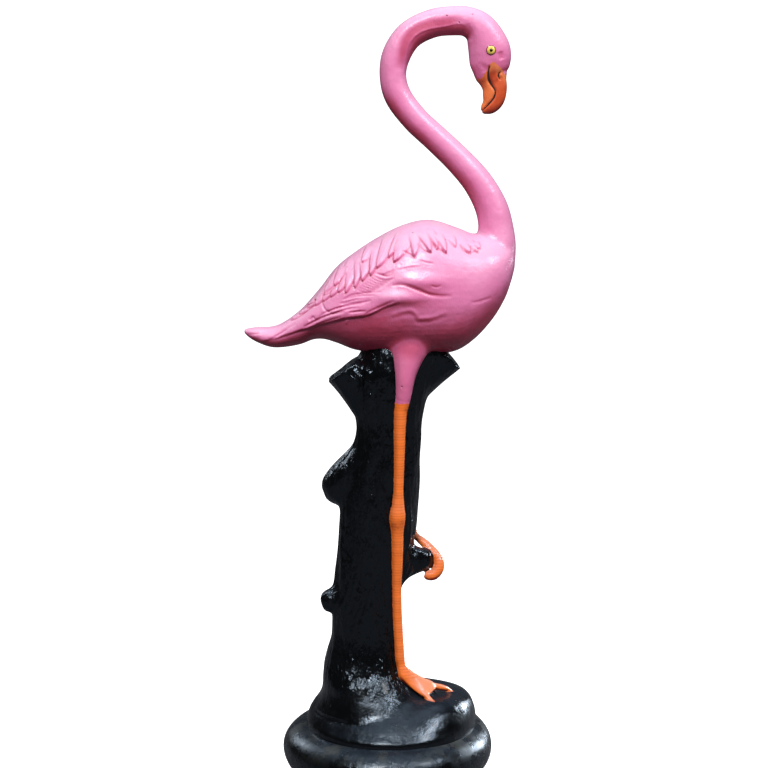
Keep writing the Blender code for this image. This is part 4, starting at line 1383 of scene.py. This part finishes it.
    def add_rib(self, shells: Shells) -> None:
        """Adds the stone that joins the lower leg to the trunk behind it."""
        radius = self.casting.leg_radius
        shells.sweep([
            (x - radius, y * (1 - self.rib_share), z, 1.5 * radius, self.rib_share * -y)
            for x, y, z, _, _ in self.casting.leg_rows(self.standing_leg[self.rib_start :])
        ])

    def add_foot(self, shells: Shells) -> None:
        """Adds the web of the foot and its toes, lying on the root's slope."""
        toe = self.casting.toe_radius
        rows = smooth_through(self.foot_web, Shells.STEPS)
        near = np.array([self.casting.on_stump(*row[:3]) for row in rows])
        far = np.array([self.casting.on_stump(*row[3:6]) for row in rows])
        ahead = np.gradient((near + far) / 2, axis=0)
        rings = []
        for i, row in enumerate(rows):
            width = float(np.linalg.norm(far[i] - near[i]))
            across = (far[i] - near[i]) / width
            up = np.cross(across, ahead[i])
            up /= np.linalg.norm(up)
            middle = (near[i] + far[i]) / 2
            rings.append(shells.ring(middle, across, up, width / 2, row[6] * toe, self.trunk_power))
        shells.loft(rings)
        for places in self.toes:
            shells.sweep([
                (*self.casting.on_stump(x, y, z), share * toe, share * toe)
                for x, y, z, share in places
            ])

    def near_leg(self, points: np.ndarray) -> np.ndarray:
        """True for the points that may be part of a leg or its foot."""
        x, y, z = points.T
        front = (y < -0.018) & (x > -0.012) & (x < 0.05)
        foot = (z < self.casting.mound_top + 0.06) & (x > 0) & (y < 0.03)
        hook = (x > 0.02) & (z > 0.20) & (z < 0.32)
        back = (y > 0.018) & (x > -0.03) & (x < 0.06)
        return front | foot | hook | back

    def carve(self, surface: Surface, leg_side: np.ndarray) -> np.ndarray:
        """Carves the bark, the legs' rings and the cut faces.

        Args:
            surface: the piece's surface.
            leg_side: how far each point is on the legs' side of their edge.

        Returns:
            How much painted shade each point takes, in the legs' ring grooves and along their edges,
            from 0 to 1.
        """
        x, y, z = surface.points.T
        rise = (z - self.casting.mound_top) / self.casting.stump_height
        turn = np.arctan2(y, x + 0.012)
        wander = 1.3 * np.sin(14 * rise) + 0.5 * np.sin(31 * rise + 1.0)
        flutes = np.sin(9 * turn + wander) + 0.6 * np.sin(17 * turn + 23 * rise)
        fine = np.sin(41 * turn + 2.0 * wander + 9 * np.sin(9 * rise))
        on_bark = smoothstep(0.5, -2.0, leg_side)
        fade = smoothstep(0.02, 0.12, rise) * smoothstep(1.0, 0.9, rise)
        bark = (self.flute_depth * flutes + self.grain_depth * fine) * fade
        rings = np.sin(2 * math.pi * (z / MM) / self.ring_spacing + 3 * np.sin(40 * y))
        on_leg = smoothstep(0.0, 1.5, leg_side) * (rise < 0.875) * smoothstep(0.045, 0.085, rise)
        ridges = np.zeros_like(x)
        for line in self.bark_ridges:
            ridges += Mark(line, 1.3, 1.1, Cut.RIDGE).relief(x / MM, z / MM)
        bark = bark + ridges * smoothstep(0.2, 0.5, np.abs(surface.normals[:, 1]))
        surface.raise_by((bark * on_bark + self.ring_depth * rings * on_leg) * MM)
        # Painted shade in a thin line along each leg's edge against the trunk
        edge = bell(leg_side - 0.6, 0.9) * (leg_side > -5)
        return np.clip(smoothstep(0.2, -1.0, rings) * on_leg * 0.3 + 0.6 * edge, 0, 1)

    def paint(self) -> bpy.types.Material:
        """Black enamel over the stump, orange and pink on the legs, with painted shade on the thighs
        and in the legs' grooves and edges.
        """
        material, sheet = self.painter.enamelled("stump_enamel", STUMP_GLOSS)
        place = sheet.on_piece()
        height = sheet.put("SeparateXYZ", i0=place).outputs[2]
        wobble = sheet.noise(place, 210.0, 3.0)
        hollow = sheet.stored("hollow")
        orange = self.painter.shade(sheet, ORANGE, hollow, 60.0)
        # Painted shade: the thighs' pink is always at least partly deep, as in the belly's shade
        pink = self.painter.shade(sheet, PINK, sheet.math("MAXIMUM", hollow, 0.35), 60.0)
        black = self.painter.shade(sheet, BLACK, 0.0, 45.0)
        line = sheet.times_plus(wobble, 0.004, height)
        leg = sheet.blend(sheet.ramp(line, self.pink_from, self.pink_from + MM), orange, pink)
        edge = sheet.times_plus(wobble, 2.2, sheet.stored("leg_side"))
        on_leg = sheet.ramp(edge, 1.35, 1.75)
        above_root = sheet.ramp(height, *self.root_heights)
        depth = sheet.times_plus(above_root, self.bark_relief, self.root_relief)
        slant = sheet.put("Mapping", Vector=place, Rotation=(0.0, 0.6, 0.0), Scale=(1.0, 1.0, 0.4))
        chipped = sheet.noise(slant.outputs[0], 150.0, 2.5)
        on_stone = sheet.math("SUBTRACT", 1.0, on_leg)
        rough = sheet.times(chipped, sheet.times(depth, on_stone))
        self.painter.finish(sheet, STUMP_GLOSS, sheet.blend(on_leg, black, leg), rough)
        return material


@dataclass
class Base:
    """The fat turned roll that the mound sits in."""

    casting: Casting
    painter: Painter
    radius: float = 0.125
    bulge: float = 0.029
    underside_radius: float = 0.087
    roll_drop: float = 0.0045
    mound_sink: float = 0.012
    middle_radius: float = 0.01
    unevenness: float = 0.1925
    sides: int = 288
    steps: int = 26

    def build(self) -> bpy.types.Object:
        """Models and paints the roll.

        Returns:
            The finished piece.
        """
        enamel = self.paint()
        shells = Shells()
        shells.loft(self.roll_rings())
        roll = shells.link("base_roll")
        self.weather(Surface(roll))
        return Piece.place(roll, enamel)

    def circle(self, centre: Sequence[float], radius: float) -> np.ndarray:
        """Points round a circle that lies flat."""
        angles = np.linspace(0, 2 * math.pi, self.sides, endpoint=False)
        flat = np.column_stack([np.cos(angles), np.sin(angles), np.zeros(self.sides)])
        return np.asarray(centre) + radius * flat

    def roll_rings(self) -> list[np.ndarray]:
        """Rings of the roll, from the middle of its top to the middle of its underside."""
        top = self.casting.roll_height
        crown = self.radius - self.bulge
        waist = top - self.bulge
        sunk = top - 0.3 * self.mound_sink
        pairs = [(self.middle_radius, sunk), (crown * 0.97, sunk)]
        for step in range(self.steps + 1):
            turn = math.pi / 2 * (1 - step / self.steps)
            pairs.append((crown + self.bulge * math.cos(turn), waist + self.bulge * math.sin(turn)))
        for step in range(1, self.steps + 1):
            turn = math.pi / 2 * step / self.steps
            across = self.underside_radius + (self.radius - self.underside_radius) * math.cos(turn)
            pairs.append((across, waist - waist * math.sin(turn)))
        pairs.append((self.middle_radius, 0.0))
        rings = [self.circle((0, 0, z), r) for r, z in pairs]
        for ring in rings:
            on_shoulder = np.clip(ring[:, 2] / waist - 1, 0, None)
            ring[:, 2] -= self.roll_drop * on_shoulder * np.clip(-ring[:, 0] / self.radius, 0, 1)
        return rings

    def weather(self, surface: Surface) -> None:
        """Makes the surface a little uneven, as hand-finished castings are."""
        x, y, z = surface.points.T
        turn = np.arctan2(y, x)
        swell = (np.sin(3 * turn + 40 * z) + 0.6 * np.sin(7 * turn - 55 * z + 1.0)
                 + 0.4 * np.sin(13 * turn + 120 * z + 2.0))
        above_floor = smoothstep(0.004, 0.02, z)
        surface.raise_by(self.unevenness * swell * above_floor * MM)

    def paint(self) -> bpy.types.Material:
        """Black enamel with dust on what faces up, and a painted bluish reflection of the sky there
        too.
        """
        material, sheet = self.painter.enamelled("base_enamel", BASE_GLOSS)
        self.painter.finish(sheet, BASE_GLOSS, self.painter.shade(sheet, BLACK, 0.0, 35.0))
        return material


@dataclass(frozen=True)
class Lamp:
    """A square soft light: metres, watts, linear RGB and degrees."""

    name: str
    place: tuple[float, float, float]
    size: float
    power: float
    colour: tuple[float, float, float]
    aim: tuple[float, float, float] = (0.0, 0.0, 0.5)
    spread: float = 180.0

    def hang(self) -> None:
        """Adds the light to the scene, turned towards its aim."""
        data = bpy.data.lights.new(self.name, "AREA")
        data.size = self.size
        data.energy = self.power
        data.color = self.colour
        data.spread = math.radians(self.spread)
        light = bpy.data.objects.new(self.name, data)
        light.location = self.place
        facing = Vector(self.aim) - Vector(self.place)
        light.rotation_euler = facing.to_track_quat("-Z", "Y").to_euler()
        bpy.context.scene.collection.objects.link(light)


@dataclass
class Studio:
    """Camera, soft lights and a pale sweep of floor and backdrop."""

    camera_place: tuple[float, float, float] = (-0.0040, -1.7, 0.68)
    pitch_down: float = math.radians(7.1)
    focal_pixels: float = 1468.04
    frame_pixels: float = 768.0
    lamps: tuple[Lamp, ...] = (
        Lamp("front left", (-0.75, -3.0, 3.5), 0.8, 160, (1.0, 0.98, 0.96)),
        Lamp("front right", (2.6, -2.1, 3.3), 0.8, 105, (0.97, 0.98, 1.0)),
        Lamp("sky", (0, -0.3, 3.4), 3.0, 42, (0.76, 0.88, 1.0)),
        Lamp("low right", (1.5, 1.0, 0.5), 0.5, 1.3, (0.84, 0.92, 1.0), (0.05, 0, 0.08), 27),
        Lamp("low left", (-1.4, 1.3, 1.1), 0.6, 0.36, (0.84, 0.92, 1.0), (-0.05, 0, 0.05), 30),
    )
    # The world's strength as light and as the camera sees it
    world_strengths: tuple[float, float] = (0.035, 1.1)

    def build(self) -> None:
        """Sets up everything round the object."""
        self.add_camera()
        self.add_sweep()
        self.add_world()
        for lamp in self.lamps:
            lamp.hang()
        bpy.context.scene.view_settings.view_transform = "Standard"

    def add_camera(self) -> None:
        """Places the camera where the photograph was taken."""
        data = bpy.data.cameras.new("camera")
        data.sensor_fit = "HORIZONTAL"
        data.angle = 2 * math.atan(self.frame_pixels / 2 / self.focal_pixels)
        data.clip_start = 0.05
        camera = bpy.data.objects.new("camera", data)
        camera.location = self.camera_place
        camera.rotation_euler = (math.pi / 2 - self.pitch_down, 0, 0)
        bpy.context.scene.collection.objects.link(camera)
        bpy.context.scene.camera = camera

    def add_sweep(self) -> None:
        """Adds the floor, which curves up into a backdrop behind the object."""
        width, front, back, radius, height = 12.0, -6.0, 3.0, 1.5, 6.0
        line = [(front, 0.0), (back, 0.0)]
        for step in range(1, 17):
            turn = math.pi / 2 * step / 16
            line.append((back + radius * math.sin(turn), radius * (1 - math.cos(turn))))
        line.append((back + radius, height))
        verts = [(side * width / 2, y, z) for y, z in line for side in (-1, 1)]
        faces = [(2 * i, 2 * i + 1, 2 * i + 3, 2 * i + 2) for i in range(len(line) - 1)]
        mesh = bpy.data.meshes.new("sweep")
        mesh.from_pydata(verts, [], faces)
        mesh.shade_smooth()
        material = bpy.data.materials.new("sweep_paper")
        material.use_nodes = True
        sheet = NodeSheet(material.node_tree)
        seen = sheet.put("LightPath").outputs["Is Camera Ray"]
        paper = sheet.blend(seen, (0.10, 0.10, 0.11, 1.0), (0.80, 0.80, 0.80, 1.0))
        sheet.feed(sheet.shader, "Base_Color", paper)
        sheet.feed(sheet.shader, "Emission_Color", (1.0, 1.0, 1.0, 1.0))
        sheet.feed(sheet.shader, "Emission_Strength", seen)
        sheet.feed(sheet.shader, "Roughness", 0.95)
        mesh.materials.append(material)
        sweep = bpy.data.objects.new("sweep", mesh)
        bpy.context.scene.collection.objects.link(sweep)

    def add_world(self) -> None:
        """A surround that gives a little even light and is seen as white."""
        world = bpy.data.worlds.new("surround")
        world.use_nodes = True
        sheet = NodeSheet(world.node_tree)
        shade = world.node_tree.nodes["Background"]
        seen = sheet.put("LightPath").outputs["Is Camera Ray"]
        sheet.feed(shade, "Color", (0.93, 0.96, 1.0, 1.0))
        dim, bright = self.world_strengths
        strength = sheet.put("MapRange", Value=seen, To_Min=dim, To_Max=bright)
        sheet.feed(shade, "Strength", strength.outputs[0])
        bpy.context.scene.world = world


def main() -> None:
    """Builds the pieces in order and reports each one."""
    logging.basicConfig(level=logging.INFO, format="%(name)s %(message)s")
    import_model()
    casting = Casting()
    Studio().build()
    painter = Painter()
    bird = Bird(casting, painter).build()
    Eyes(casting, painter).build(bird)
    StumpAndLegs(casting, painter).build()
    Base(casting, painter).build()


if __name__ == "__main__":
    main()
